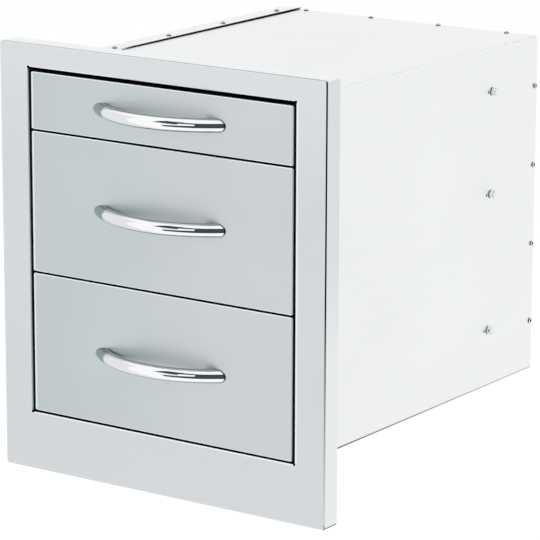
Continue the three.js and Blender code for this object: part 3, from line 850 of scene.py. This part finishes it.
FINISHES: dict[str, SteelFinish] = {
    "face_frame": FaceFinish(
        "brushed face sheet", (213, 217, 220), streak_share=0.014, edge_radius=0.002,
        # painted light: the face lighter towards its top
        far_tone=(219, 223, 226), drift_axis=Axis.Z, drift_ends=(0.34, 0.46),
    ),
    "drawer_front": FrontFinish(
        "satin front sheet", (195, 204, 206), roughness=0.34, streak_share=0.012, cloud_share=0.03,
        # painted light: the fronts lighter towards the right
        far_tone=(205, 210, 213), drift_ends=(-0.15, 0.05),
    ),
    "box_sheet": LappedFinish(
        "mill finish box sheet", (240, 242, 242), roughness=0.4, grain=Grain.DEEP,
        worn_tone=(243, 245, 245), streak_share=0.01, cloud_share=0.014, edge_radius=0.0006,
    ),
    "tray_sheet": SteelFinish(
        "mill finish tray sheet", (226, 229, 230), roughness=0.38, grain=Grain.DEEP,
        streak_share=0.02,
    ),
    "handle": BarFinish(
        "polished bar", (249, 250, 250), roughness=0.0, roughness_spread=0.0,
        streak_share=0.006, cloud_share=0.01, groove=0.000001, edge_radius=0.0003, folded=False,
    ),
    "slide_members": SteelFinish(
        "zinc plated rail", (206, 210, 214), roughness=0.3, roughness_spread=0.18,
        grain=Grain.DEEP, streak_share=0.05, cloud_share=0.05, cloud_scale=18.0,
        edge_radius=0.0005,
    ),
    "ball_cages": SteelFinish(
        "bright cage strip", (190, 193, 194), roughness=0.35, grain=Grain.DEEP,
        cloud_scale=30.0, edge_radius=0.0003, folded=False,
    ),
    "fasteners": SteelFinish(
        "turned fastener", (234, 237, 238), roughness=0.12, grain=Grain.EVEN,
        streak_share=0.05, edge_radius=0.0003, folded=False,
    ),
    # the weld's near-black tone is partly painted shade, standing in for the dark seen through the
    # corner notches
    "weld": SteelFinish(
        "dark weld", (22, 24, 26), worn_tone=(40, 43, 46), roughness=0.5, grain=Grain.EVEN,
        streak_share=0.2, cloud_share=0.1, cloud_scale=60.0, edge_radius=0.0002, folded=False,
    ),
    # painted shade in the screws' recesses and round heads, washers and nuts
    "shade_finish": SteelFinish(
        "grimed recess", (58, 60, 60), worn_tone=(90, 92, 92), roughness=0.45, grain=Grain.EVEN,
        streak_share=0.2, edge_radius=0.0002, folded=False,
    ),
}


# Meshes


def polar(radius: float, angle: float, height: float) -> Vector:
    """A point round the Z axis."""
    return Vector((radius * math.cos(angle), radius * math.sin(angle), height))


def circle(radius: float, height: float, steps: int) -> Ring:
    """A ring round the Z axis: a single point where the radius is zero."""
    count = steps if radius else 1
    return [polar(radius, FULL_TURN * i / steps, height) for i in range(count)]


def facing(place: Vector, axis: Vector, spin: float = 0.0) -> Matrix:
    """Sets a shape's origin on a place and its Z along an axis.

    Args:
        place: where its origin goes.
        axis: where its Z points.
        spin: its turn about that axis.

    Returns:
        The transform.
    """
    turned = axis.to_track_quat("Z", "Y").to_matrix().to_4x4()
    return Matrix.Translation(place) @ turned @ Matrix.Rotation(spin, 4, "Z")


def linked(name: str, data: bpy.types.ID) -> Object:
    """Adds an object to the scene.

    Args:
        name: its name.
        data: its mesh, lamp or camera.

    Returns:
        The object.
    """
    made = bpy.data.objects.new(name, data)
    bpy.context.scene.collection.objects.link(made)
    return made


class Draft:
    """The mesh of one piece while it is being built."""

    def __init__(self) -> None:
        """Starts empty."""
        self.points: Ring = []
        self.faces: list[tuple[int, ...]] = []
        self.grimed: list[int] = []

    def loft(
        self, rings: Sequence[Ring], place: Matrix = Matrix(), grimed: Sequence[int] = ()
    ) -> None:
        """Skins a row of rings and closes its ends.

        Args:
            rings: rings of equal count, or single points where the skin closes.
            place: where the shape goes.
            grimed: the bands, counted from the first ring, that take the painted shade.
        """
        starts = []
        for ring in rings:
            starts.append((len(self.points), len(ring)))
            self.points.extend(place @ point for point in ring)
        for band, ((first, one), (second, other)) in enumerate(pairwise(starts)):
            count = max(one, other)
            for i in range(count):
                j = (i + 1) % count
                corners = (first + i % one, first + j % one, second + j % other, second + i % other)
                if band in grimed:
                    self.grimed.append(len(self.faces))
                self.faces.append(tuple(dict.fromkeys(corners)))
        for start, count in (starts[0], starts[-1]):
            if count > 1:
                self.faces.append(tuple(range(start, start + count)))

    def build(self, name: str, material: Material, shade_finish: Material | None = None) -> Object:
        """Makes the piece.

        Args:
            name: its name.
            material: its finish.
            shade_finish: the finish that paints shade on those bands, if it has any.

        Returns:
            The object, linked to the scene.
        """
        mesh = bpy.data.meshes.new(name)
        mesh.from_pydata(self.points, [], self.faces)
        for index in self.grimed:
            mesh.polygons[index].material_index = 1
        shape = bmesh.new()
        shape.from_mesh(mesh)
        bmesh.ops.recalc_face_normals(shape, faces=shape.faces)
        shape.to_mesh(mesh)
        shape.free()
        mesh.shade_smooth()
        mesh.set_sharp_from_angle(angle=SMOOTH_LIMIT)
        for finish in filter(None, (material, shade_finish)):
            mesh.materials.append(finish)
        return linked(name, mesh)


class FoldSmoothing:
    """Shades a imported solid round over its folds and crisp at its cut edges."""

    MERGE_REACH = MM / 1000  # points nearer than this become one

    def __init__(self) -> None:
        """Builds the modifier's node tree."""
        self.tree = bpy.data.node_groups.new("fold smoothing", "GeometryNodeTree")
        for way in ("INPUT", "OUTPUT"):
            self.tree.interface.new_socket(
                "Geometry", in_out=way, socket_type="NodeSocketGeometry"
            )
        wiring = Wiring(self.tree)
        angle = wiring.node("GeometryNodeInputMeshEdgeAngle").outputs["Unsigned Angle"]
        step = wiring.node("NodeGroupInput")
        for kind, sources, settings in (
            ("MergeByDistance", {"Distance": self.MERGE_REACH}, {}),
            ("RemoveAttribute", {"Name": "custom_normal"}, {}),
            ("SetShadeSmooth", {"Shade Smooth": True}, {"domain": "FACE"}),
            (
                "SetShadeSmooth",
                {"Selection": Value(wiring, angle) > SMOOTH_LIMIT, "Shade Smooth": False},
                {"domain": "EDGE"},
            ),
        ):
            sources = {"Geometry": step.outputs[0], **sources}
            step = wiring.node(f"GeometryNode{kind}", sources, **settings)
        wiring.node("NodeGroupOutput", {0: step.outputs[0]})

    def add_to(self, piece: Object) -> None:
        """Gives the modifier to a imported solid."""
        piece.modifiers.new("fold smoothing", "NODES").node_group = self.tree
        piece.modifiers.new("flat sheet shading", "WEIGHTED_NORMAL").keep_sharp = True


# Fasteners


@dataclass(frozen=True)
class PanScrew:
    """A pan-head screw with a cross recess. It stands on Z zero, its shank below."""

    head_radius: float = 0.0029
    head_height: float = 0.0019
    shank_radius: float = 0.0015
    shank_length: float = 0.0024  # how far the shank reaches through the sheets
    rim_share: float = 0.42  # height of the rim, as a share of the head's
    crown_shares: tuple[float, ...] = (0.8, 0.92, 1.0)  # the crown's rings, in head radii
    reach_share: float = 0.6  # length of a recess arm, in head radii
    lip_share: float = 1.04  # the recess's rim, in lengths of an arm
    arm_share: float = 0.13  # half width of an arm, in head radii
    hub_share: float = 1.6  # where the arms part, in half widths of an arm
    floor_share: float = 0.3  # height of the recess floor, as a share of the head's
    slope_share: float = 0.8  # width of an arm's floor, as a share of the arm's
    grimed: tuple[int, ...] = (0, 1, 2, 5, 6)  # bands with painted shade: the recess, the crown's edge, the rim

    def crown(self, radius: float) -> float:
        """The height of the domed crown at a radius."""
        fall = (radius / self.head_radius) ** 4
        return self.head_height * (1 - fall * (1 - self.rim_share))

    def _ring(self, radius: float, recessed: bool = False) -> Ring:
        """Draws one ring of the crown, with its points gathered at the edges of the arms.

        Args:
            radius: its radius.
            recessed: whether it dips into the recess.

        Returns:
            The ring.
        """
        spread = math.asin(self.arm_share * self.head_radius / radius)
        outer = math.pi / 4
        floor = self.slope_share * spread
        offsets = (
            (-outer, False), (-(outer + spread) / 2, False), (-spread, False), (-floor, True),
            (0.0, True), (floor, True), (spread, False), ((outer + spread) / 2, False),
        )
        ring = []
        for arm, (offset, in_arm) in product(range(4), offsets):
            low = recessed and in_arm
            height = self.floor_share * self.head_height if low else self.crown(radius)
            ring.append(polar(radius, arm * QUARTER_TURN + offset, height))
        return ring

    def rings(self) -> list[Ring]:
        """Draws the whole screw, from the recess down to the tip.

        Returns:
            Its rings.
        """
        reach = self.reach_share * self.head_radius
        hub = self.hub_share * self.arm_share * self.head_radius
        rings = [[Vector((0, 0, self.floor_share * self.head_height))]]
        rings += [self._ring(hub, True), self._ring(reach, True)]
        rings += [self._ring(self.lip_share * reach)]
        rings += [self._ring(share * self.head_radius) for share in self.crown_shares]
        for radius, height in (
            (self.head_radius, 0.0), (self.shank_radius, 0.0),
            (self.shank_radius, -self.shank_length),
        ):
            rings.append([Vector((point.x, point.y, height)) for point in self._ring(radius)])
        rings.append([Vector((0, 0, -self.shank_length - self.shank_radius))])
        return rings

    def row(
        self, name: str, places: Iterable[Vector], axis: Vector, materials: dict[str, Material]
    ) -> Object:
        """Sets screws in a row as one piece.

        Args:
            name: the piece's name.
            places: where the heads seat.
            axis: where they face.
            materials: the finishes by slot.

        Returns:
            The piece.
        """
        draft = Draft()
        for index, place in enumerate(places):
            spin = GOLDEN_TURN * (index + len(name))
            draft.loft(self.rings(), facing(place, axis, spin), self.grimed)
        return draft.build(name, materials["fasteners"], materials["shade_finish"])


@dataclass(frozen=True)
class CapNut:
    """A bolt through slide and box wall, with its washer and domed cap nut outside.

    Its Z points out of the box. Z zero is the inner end of the bolt's head.
    """

    head_radius: float = 0.0045  # of the bolt's head
    head_height: float = 0.0014
    head_flat: float = 0.7  # the head's flat end, in head radii
    bolt_radius: float = 0.0025
    washer_radius: float = 0.0048
    washer_thickness: float = 0.0009
    washer_ease: float = 0.25  # of its edges, in thicknesses
    flats: float = 0.008  # width of the nut across its flats
    nut_height: float = 0.0036  # of its six-sided part
    dome_radius: float = 0.0036
    dome_steps: int = 8
    steps: int = 48  # points round each ring
    grimed: tuple[int, ...] = (6, 7, 12)  # bands with painted shade: the washer's edge and rim, the nut's top corners

    def _hexagon(self, height: float, chamfer_way: int) -> Ring:
        """Draws the nut's outline, its corners taken back along Z where it is chamfered.

        Args:
            height: where the flats end.
            chamfer_way: 1 where the corners are lower than that, -1 where they are higher.

        Returns:
            The ring.
        """
        inscribed = self.flats / 2
        sixth = FULL_TURN / 6
        ring = []
        for i in range(self.steps):
            angle = FULL_TURN * i / self.steps
            radius = inscribed / math.cos((angle + sixth / 2) % sixth - sixth / 2)
            drop = chamfer_way * (radius - inscribed) * math.tan(sixth / 2)
            ring.append(polar(radius, angle, height - drop))
        return ring

    def rings(self, length: float) -> list[Ring]:
        """Draws the bolt with its washer and nut.

        Args:
            length: from the bolt's head to the top of the dome.

        Returns:
            The rings.
        """
        dome_foot = length - self.dome_radius
        nut_seat = dome_foot - self.nut_height
        washer_seat = nut_seat - self.washer_thickness
        ease = self.washer_ease * self.washer_thickness
        profile = (
            (0, 0), (self.head_flat * self.head_radius, 0),
            (self.head_radius, self.head_height / 2), (self.head_radius, self.head_height),
            (self.bolt_radius, self.head_height), (self.bolt_radius, washer_seat),
            (self.washer_radius - ease, washer_seat), (self.washer_radius, washer_seat + ease),
            (self.washer_radius, nut_seat - ease), (self.washer_radius - ease, nut_seat),
            (self.flats / 2, nut_seat),
        )
        turns = [QUARTER_TURN * step / self.dome_steps for step in range(self.dome_steps)]
        dome = [(math.cos(turn), math.sin(turn)) for turn in turns] + [(0, 1)]
        return [
            *(circle(radius, height, self.steps) for radius, height in profile),
            self._hexagon(nut_seat, -1),
            self._hexagon(dome_foot, 1),
            circle(self.flats / 2, dome_foot, self.steps),
            *(
                circle(self.dome_radius * out, dome_foot + self.dome_radius * up, self.steps)
                for out, up in dome
            ),
        ]


@dataclass(frozen=True)
class WeldBead:
    """A rippled bead of weld. It stands on Z zero and ends in a rounded tip."""

    radius: float = 0.0026  # where it starts
    length: float = 0.0065
    ripples: int = 4
    ripple_share: float = 0.05  # their height, as a share of the radius
    bands: int = 24
    steps: int = 24  # points round each ring

    def rings(self) -> list[Ring]:
        """Draws the bead from its foot to its tip.

        Returns:
            The rings.
        """
        rings = []
        for band in range(self.bands + 1):
            share = band / self.bands
            ripple = 1 + self.ripple_share * math.sin(FULL_TURN * self.ripples * share)
            radius = self.radius * math.sqrt(1 - share**2) * ripple
            rings.append(circle(radius, self.length * share, self.steps))
        return rings


# Sub-assemblies


@dataclass
class Cabinet:
    """The face frame with its welds, the two lapped shells, the back and their screws."""

    materials: dict[str, Material]
    lap_places: tuple[float, ...] = (0.110, 0.2125, 0.3195, 0.4305)  # screws of a lap, in Y
    lap_inset: float = 0.019  # those screws from the side of the box
    lap_lift: float = 0.0007  # how far the lap springs open at the back
    back_spreads: tuple[float, ...] = (0.047, 0.140)  # screws of a back flange, from its middle
    back_inset: float = 0.0045  # those screws from the back of the box
    screw: PanScrew = PanScrew()
    face_sheet: float = 0.001  # thickness of the face frame's sheet
    bead: WeldBead = WeldBead()  # closes a notch of the opening from behind

    def build(self) -> list[Object]:
        """The welds of the face frame and every row of screws of the box."""
        return [self._corner_welds(), *self._lap_screws(), *self._back_screws()]

    def _corner_welds(self) -> Object:
        """Makes the beads that close the four corner notches of the opening.

        Returns:
            The piece.
        """
        side, bottom, top = opening()
        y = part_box("face_frame")[0].y + self.face_sheet
        draft = Draft()
        for x, z in product((-side, side), (bottom, top)):
            draft.loft(self.bead.rings(), facing(Vector((x, y, z)), Vector((0, 1, 0))))
        piece = draft.build("face_corner_welds", self.materials["weld"])
        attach(piece, "cabinet")
        return piece

    def _lap_screws(self) -> list[Object]:
        """Sets the screws through the laps: on top at the left, underneath at the right.

        Returns:
            The pieces.
        """
        upper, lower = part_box("upper_shell"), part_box("lower_shell")
        depth = lower[1].y - lower[0].y
        pieces = []
        for name, x, face, way in (
            ("lap_screws_upper", lower[0].x + self.lap_inset, lower[1].z, 1),
            ("lap_screws_lower", upper[1].x - self.lap_inset, upper[0].z, -1),
        ):
            settled = [self.lap_lift * (lower[1].y - y) / depth for y in self.lap_places]
            seats = [Vector((x, y, face - way * d)) for y, d in zip(self.lap_places, settled)]
            pieces.append(self._row(name, seats, Vector((0, 0, way))))
        return pieces

    def _back_screws(self) -> list[Object]:
        """Sets the screws through the flanges of the back, four to each of its edges.

        Returns:
            The pieces.
        """
        upper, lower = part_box("upper_shell"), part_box("lower_shell")
        y = upper[1].y - self.back_inset
        middle = (upper[0].z + lower[1].z) / 2
        spreads = [way * spread for spread in self.back_spreads for way in (-1, 1)]
        pieces = []
        for name, z, way in (("top", upper[1].z, 1), ("bottom", lower[0].z, -1)):
            seats = [Vector((spread, y, z)) for spread in spreads]
            pieces.append(self._row(f"back_screws_{name}", seats, Vector((0, 0, way))))
        for side, x in ((Side.RIGHT, upper[1].x), (Side.LEFT, lower[0].x)):
            seats = [Vector((x, y, middle + spread)) for spread in spreads]
            pieces.append(self._row(f"back_screws_{side.word}", seats, side.outwards))
        return pieces

    def _row(self, name: str, seats: Sequence[Vector], axis: Vector) -> Object:
        """Sets a row of screws that ride on the cabinet.

        Args:
            name: the piece's name.
            seats: where the heads seat.
            axis: where they face.

        Returns:
            The piece.
        """
        piece = self.screw.row(name, seats, axis, self.materials)
        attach(piece, "cabinet")
        return piece


@dataclass
class BarHandle:
    """A round bar bent to one arc, its two feet cut flat against the front."""

    row: Row
    material: Material
    diameter: float = 0.0152
    span: float = 0.1524  # between the middles of its feet
    rise: float = 0.026  # from the front to the middle of the bow
    steps_round: int = 40
    steps_along: int = 72

    def build(self) -> Object:
        """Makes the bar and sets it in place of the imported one.

        Returns:
            The piece.
        """
        low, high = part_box(self.row.node("handle"))
        seat, level = high.y, (low.z + high.z) / 2
        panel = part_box(self.row.node("front"))[0].y
        bend = ((self.span / 2) ** 2 + self.rise**2) / (2 * self.rise)
        centre = panel - self.rise + bend
        lines = [
            (bend + out.x, level + out.y) for out in circle(self.diameter / 2, 0, self.steps_round)
        ]
        rings = []
        for station in range(self.steps_along + 1):
            share = 2 * station / self.steps_along - 1
            ring = []
            for radius, z in lines:
                angle = share * math.acos((centre - seat) / radius)
                x, y = radius * math.sin(angle), centre - radius * math.cos(angle)
                ring.append(Vector((x, y, z)))
            rings.append(ring)
        draft = Draft()
        draft.loft(rings)
        piece = draft.build(f"{self.row.value}_bar_handle", self.material)
        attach(piece, self.row.drawer)
        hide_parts(self.row.node("handle"))
        return piece


@dataclass
class BallCage:
    """A folded strip that carries a row of steel balls above and one below."""

    row: Row
    side: Side
    run: Run
    material: Material
    ball_radius: float = 0.00175
    ball_bands: int = 10
    arm_past_ball: float = 0.0017  # how far an arm runs past the middle of its balls
    strip: float = 0.0006  # thickness of the strip
    bend_share: float = 1.5  # radius of its bends, in thicknesses
    bend_steps: int = 4
    collar_ends: Span = (0.93, 1.22)  # the lip round a ball, in ball radii
    end_margin: float = 0.01  # from the end of the cage to its last ball
    balls: int = 10  # in a row
    steps: int = 16  # points round a ball

    def build(self) -> Object:
        """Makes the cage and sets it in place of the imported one.

        Returns:
            The piece.
        """
        node = self.row.node(f"{self.run.value}_cage_{self.side.word}")
        low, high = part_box(node)
        tip = self.side.inner(node)
        middle = (low.z + high.z) / 2
        lift = (high.z - low.z) / 2 - self.ball_radius
        outline = self._section(self.side.outer(node), tip, lift)
        draft = Draft()
        draft.loft([[Vector((x, y, middle + z)) for x, z in outline] for y in (low.y, high.y)])
        line = tip + self.side.value * self.arm_past_ball
        pitch = (high.y - low.y - 2 * self.end_margin) / (self.balls - 1)
        for index, way in product(range(self.balls), (-1, 1)):
            y = low.y + self.end_margin + index * pitch
            seat = Matrix.Translation((line, y, middle + way * lift))
            draft.loft(self._ball(), seat)
            draft.loft(self._collar(), seat)
        piece = draft.build(f"{node}_with_balls", self.material)
        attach(piece, f"{self.row.value}_{self.run.value}_cages")
        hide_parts(node)
        return piece

    def _section(self, web: float, tip: float, lift: float) -> list[tuple[float, float]]:
        """Draws the outline of the folded strip across the slide.

        Args:
            web: the X of its web's outer face.
            tip: the X of its arms' ends.
            lift: the arms' height over the middle.

        Returns:
            The outline's X and Z, counted from the middle.
        """
        half, bend = self.strip / 2, self.bend_share * self.strip
        sides = []
        for offset in (half, -half):
            points = [(tip, lift + offset)]
            for step in range(self.bend_steps + 1):
                angle = QUARTER_TURN * step / self.bend_steps
                inwards = half + bend - (bend + offset) * math.sin(angle)
                up = lift - bend + (bend + offset) * math.cos(angle)
                points.append((web - self.side.value * inwards, up))
            sides.append(points + [(x, -z) for x, z in reversed(points)])
        return sides[0] + sides[1][::-1]

    def _ball(self) -> list[Ring]:
        """Draws one ball.

        Returns:
            Its rings.
        """
        rings = []
        for band in range(self.ball_bands + 1):
            angle = math.pi * band / self.ball_bands
            radius = 0 if band in (0, self.ball_bands) else self.ball_radius * math.sin(angle)
            rings.append(circle(radius, -self.ball_radius * math.cos(angle), self.steps))
        return rings

    def _collar(self) -> list[Ring]:
        """Draws the pressed lip round a ball.

        Returns:
            Its rings.
        """
        inner, outer = [share * self.ball_radius for share in self.collar_ends]
        profile = ((inner, -1.0), (outer, -0.5), (outer, 0.5), (inner, 1.0))
        return [circle(radius, level * self.strip, self.steps) for radius, level in profile]


@dataclass
class Slide:
    """One telescoping slide: its finer cages, its bolt and the inner rail's screws."""

    row: Row
    side: Side
    materials: dict[str, Material]
    rail_sheet: float = 0.0011  # thickness of the inner rail
    screw_shares: tuple[float, ...] = (0.07, 0.5, 0.93)  # places of its screws along it
    nut: CapNut = CapNut()
    screw: PanScrew = PanScrew(head_radius=0.0032, head_height=0.0014, shank_length=0.0009)

    def build(self) -> list[Object]:
        """Makes the slide's finer pieces.

        Returns:
            The pieces.
        """
        strip = self.materials["ball_cages"]
        cages = [BallCage(self.row, self.side, run, strip).build() for run in Run]
        return [*cages, self._bolt(), self._rail_screws()]

    def _bolt(self) -> Object:
        """Makes the bolt and its cap nut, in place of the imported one.

        Returns:
            The piece.
        """
        node = self.row.node(f"slide_bolt_{self.side.word}")
        low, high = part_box(node)
        start = Vector((self.side.inner(node), (low.y + high.y) / 2, (low.z + high.z) / 2))
        spin = GOLDEN_TURN * (list(Row).index(self.row) + 1)
        stand = facing(start, self.side.outwards, spin)
        draft = Draft()
        draft.loft(self.nut.rings(high.x - low.x), stand, self.nut.grimed)
        piece = draft.build(
            f"{node}_with_cap_nut", self.materials["fasteners"], self.materials["shade_finish"]
        )
        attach(piece, "cabinet")
        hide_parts(node)
        return piece

    def _rail_screws(self) -> Object:
        """Sets the screws that hold the inner rail to the tray, their heads in the rail.

        Returns:
            The piece.
        """
        node = self.row.node(f"inner_rail_{self.side.word}")
        low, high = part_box(node)
        face = self.side.inner(node) + self.side.value * self.rail_sheet
        seats = [
            Vector((face, low.y + share * (high.y - low.y), (low.z + high.z) / 2))
            for share in self.screw_shares
        ]
        name = self.row.node(f"rail_screws_{self.side.word}")
        piece = self.screw.row(name, seats, self.side.outwards, self.materials)
        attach(piece, self.row.drawer)
        return piece


@dataclass
class Drawer:
    """A drawer's handle, its two slides and the screws between tray and front."""

    row: Row
    materials: dict[str, Material]
    tray_sheet: float = 0.0009  # thickness of the tray
    screw_spreads: tuple[float, ...] = (0.035, 0.125)  # its screws from its middle
    edge_distance: float = 0.018  # and from its floor and its top
    screw: PanScrew = PanScrew(head_radius=0.0034, shank_length=0.002)

    def build(self) -> list[Object]:
        """Makes the drawer's finer pieces.

        Returns:
            The pieces.
        """
        pieces = [BarHandle(self.row, self.materials["handle"]).build(), self._tray_screws()]
        for side in Side:
            pieces += Slide(self.row, side, self.materials).build()
        return pieces

    def _tray_screws(self) -> Object:
        """Sets the screws through the tray's front wall, with their heads in the tray.

        Returns:
            The piece.
        """
        low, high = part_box(self.row.node("tray"))
        levels = sorted({low.z + self.edge_distance, high.z - self.edge_distance})
        seats = [
            Vector((way * spread, low.y + self.tray_sheet, level))
            for level, spread, way in product(levels, self.screw_spreads, (-1, 1))
        ]
        name = self.row.node("tray_screws")
        piece = self.screw.row(name, seats, Vector((0, 1, 0)), self.materials)
        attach(piece, self.row.drawer)
        return piece


# Studio


class Card(NamedTuple):
    """A card that only a mirror sees, bent round the unit far away.

    Azimuth zero is straight in front of the unit, and it grows towards the right.
    """

    name: str
    start: tuple[float, float, float]  # one side's azimuth, lower and upper end, in degrees
    end: tuple[float, float, float]  # the same of the other side
    tone: Tone = (60, 75, 76)


class Lamp(NamedTuple):
    """A large soft lamp that polished metal doesn't see."""

    name: str
    place: tuple[float, float, float]
    size: float  # metres
    power: float  # watts


@dataclass
class Studio:
    """The plain white room, its floor, soft lamps, cards and camera."""

    cards: tuple[Card, ...] = (
        Card("dark_wall", (19, -33, 40), (62, -33, 40)),
        Card("upper_bar", (-25, 24, 55), (2, 12, 50)),
        Card("upper_joint", (2, 26, 47), (19, 22, 41), (84, 98, 99)),
        Card("lower_bar", (-13, -27, -6), (19, -34, 2)),
        Card("left_wall", (-96, -60, 40), (-52, -60, 40), (234, 232, 234)),
    )
    card_distance: float = 9.0  # from the middle of the face frame
    card_steps: int = 24  # flats round a card
    lamps: tuple[Lamp, ...] = (
        Lamp("key_lamp", (-1.6, -2.2, 2.6), 2.4, 60.0),
        Lamp("fill_lamp", (2.6, 0.6, 2.2), 2.0, 25.0),
    )
    floor_drop: float = 0.5  # the floor below the unit
    floor_size: float = 40.0
    floor_glow: float = 0.72  # the light that the floor gives by itself
    floor_tone: float = 0.3  # the part of it that shows a shadow
    diffuse_level: float = 0.9  # the room's light on dull surfaces
    camera_place: tuple[float, float, float] = (2.0311, -2.7528, 1.0756)
    yaw: float = 34.649  # how far the camera looks to the left, in degrees
    pitch: float = 13.658  # how far down
    roll: float = -0.182  # how far it leans
    lens: float = 216.6  # millimetres
    sensor: float = 36.0  # millimetres

    def build(self) -> None:
        """Sets up the room, the lamps and the camera."""
        bpy.context.scene.view_settings.view_transform = "Standard"
        self._world()
        self._floor()
        for card in self.cards:
            self._card(card)
        for lamp in self.lamps:
            self._lamp(lamp)
        self._camera()

    def _world(self) -> None:
        """White to the eye and in reflections, a little less on dull surfaces."""
        world = bpy.data.worlds.new("white room")
        wiring = Wiring.of(world)
        rays = wiring.node("ShaderNodeLightPath").outputs
        kinds = ("Is Camera Ray", "Is Glossy Ray", "Is Transmission Ray")
        camera, glossy, through = [Value(wiring, rays[kind]) for kind in kinds]
        strength = (camera | glossy | through).span(0.0, 1.0, self.diffuse_level, 1.0)
        sources = {"Color": WHITE, "Strength": strength}
        wiring.surface(wiring.node("ShaderNodeBackground", sources), "World")
        bpy.context.scene.world = world

    def _floor(self) -> None:
        """A pale floor well below the unit, which hangs in its island."""
        level = CAD_BOX[0].z - self.floor_drop
        half = self.floor_size / 2
        corners = ((-half, -half), (half, -half), (half, half), (-half, half))
        sheet, wiring = self._sheet(
            "floor", [Vector((*corner, level)) for corner in corners], [(0, 1, 2, 3)]
        )
        dull = wiring.node("ShaderNodeBsdfDiffuse", {"Color": (*[self.floor_tone] * 3, 1)})
        glow = wiring.node("ShaderNodeEmission", {"Color": WHITE, "Strength": self.floor_glow})
        both = {0: dull.outputs[0], 1: glow.outputs[0]}
        wiring.surface(wiring.node("ShaderNodeAddShader", both))
        sheet.visible_glossy = False

    def _card(self, card: Card) -> None:
        """Bends a card round the unit, clear to every ray but a mirror's.

        Args:
            card: the card.
        """
        middle = (CAD_BOX[0].z + CAD_BOX[1].z) / 2
        points = []
        for step in range(self.card_steps + 1):
            share = step / self.card_steps
            azimuth, *elevations = [
                math.radians(one + share * (other - one))
                for one, other in zip(card.start, card.end)
            ]
            for elevation in elevations:
                flat = self.card_distance * math.cos(elevation)
                height = middle + self.card_distance * math.sin(elevation)
                points.append(polar(flat, azimuth - QUARTER_TURN, height))
        faces = [(2 * i, 2 * i + 1, 2 * i + 3, 2 * i + 2) for i in range(self.card_steps)]
        stand, wiring = self._sheet(card.name, points, faces)
        glow = wiring.node("ShaderNodeEmission", {"Color": linear(card.tone), "Strength": 1.0})
        clear = wiring.node("ShaderNodeBsdfTransparent")
        mirrored = wiring.node("ShaderNodeLightPath").outputs["Is Singular Ray"]
        shown = {0: mirrored, 1: clear.outputs[0], 2: glow.outputs[0]}
        wiring.surface(wiring.node("ShaderNodeMixShader", shown))
        for kind in ("camera", "diffuse", "shadow", "transmission"):
            setattr(stand, f"visible_{kind}", False)

    @staticmethod
    def _sheet(name: str, points: Ring, faces: list[tuple[int, ...]]) -> tuple[Object, Wiring]:
        """Adds a sheet that isn't part of the unit.

        Args:
            name: its name.
            points: its points.
            faces: its faces.

        Returns:
            The sheet and the wiring of its still empty material.
        """
        mesh = bpy.data.meshes.new(name)
        mesh.from_pydata(points, [], faces)
        material = bpy.data.materials.new(name)
        mesh.materials.append(material)
        sheet = linked(name, mesh)
        return sheet, Wiring.of(material)

    @staticmethod
    def _lamp(lamp: Lamp) -> None:
        """Hangs a lamp that looks at the origin.

        Args:
            lamp: the lamp.
        """
        light = bpy.data.lights.new(lamp.name, "AREA")
        light.size = lamp.size
        light.energy = lamp.power
        hung = linked(lamp.name, light)
        hung.matrix_world = facing(Vector(lamp.place), Vector(lamp.place))
        hung.visible_glossy = False
        hung.visible_camera = False

    def _camera(self) -> None:
        """Stands the camera where the photograph was taken from."""
        yaw, pitch, roll = map(math.radians, (self.yaw, self.pitch, self.roll))
        ahead = Vector((
            -math.sin(yaw) * math.cos(pitch), math.cos(yaw) * math.cos(pitch), -math.sin(pitch),
        ))
        level = Vector((math.cos(yaw), math.sin(yaw), 0))
        down = ahead.cross(level)
        right = math.cos(roll) * level + math.sin(roll) * down
        down = math.cos(roll) * down - math.sin(roll) * level
        turned = Matrix((right, -down, -ahead)).transposed().to_4x4()
        view = bpy.data.cameras.new("camera")
        view.sensor_width = self.sensor
        view.lens = self.lens
        camera = linked("camera", view)
        camera.matrix_world = Matrix.Translation(self.camera_place) @ turned
        bpy.context.scene.camera = camera


def dress_nodes(materials: dict[str, Material]) -> None:
    """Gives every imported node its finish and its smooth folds.

    Args:
        materials: the finishes by slot.
    """
    smoothing = FoldSmoothing()
    for part in frame["record"]["subparts"]:
        node = frame["nodes"][part["node"]]
        node.data.materials.clear()
        node.data.materials.append(materials[part["material_slot"]])
        smoothing.add_to(node)
        LOG.info("dressed %s as %s", part["node"], part["material_slot"])


def main() -> None:
    """Builds the studio, the finishes and each sub-assembly in order."""
    logging.basicConfig(level=logging.INFO, format="%(name)s: %(message)s")
    Studio().build()
    effects = SheetEffects()
    materials = {slot: finish.build(effects) for slot, finish in FINISHES.items()}
    dress_nodes(materials)
    pieces = Cabinet(materials).build()
    for row in Row:
        pieces += Drawer(row, materials).build()
    for piece in pieces:
        LOG.info("built %s with %d faces", piece.name, len(piece.data.polygons))


if __name__ == "__main__":
    main()
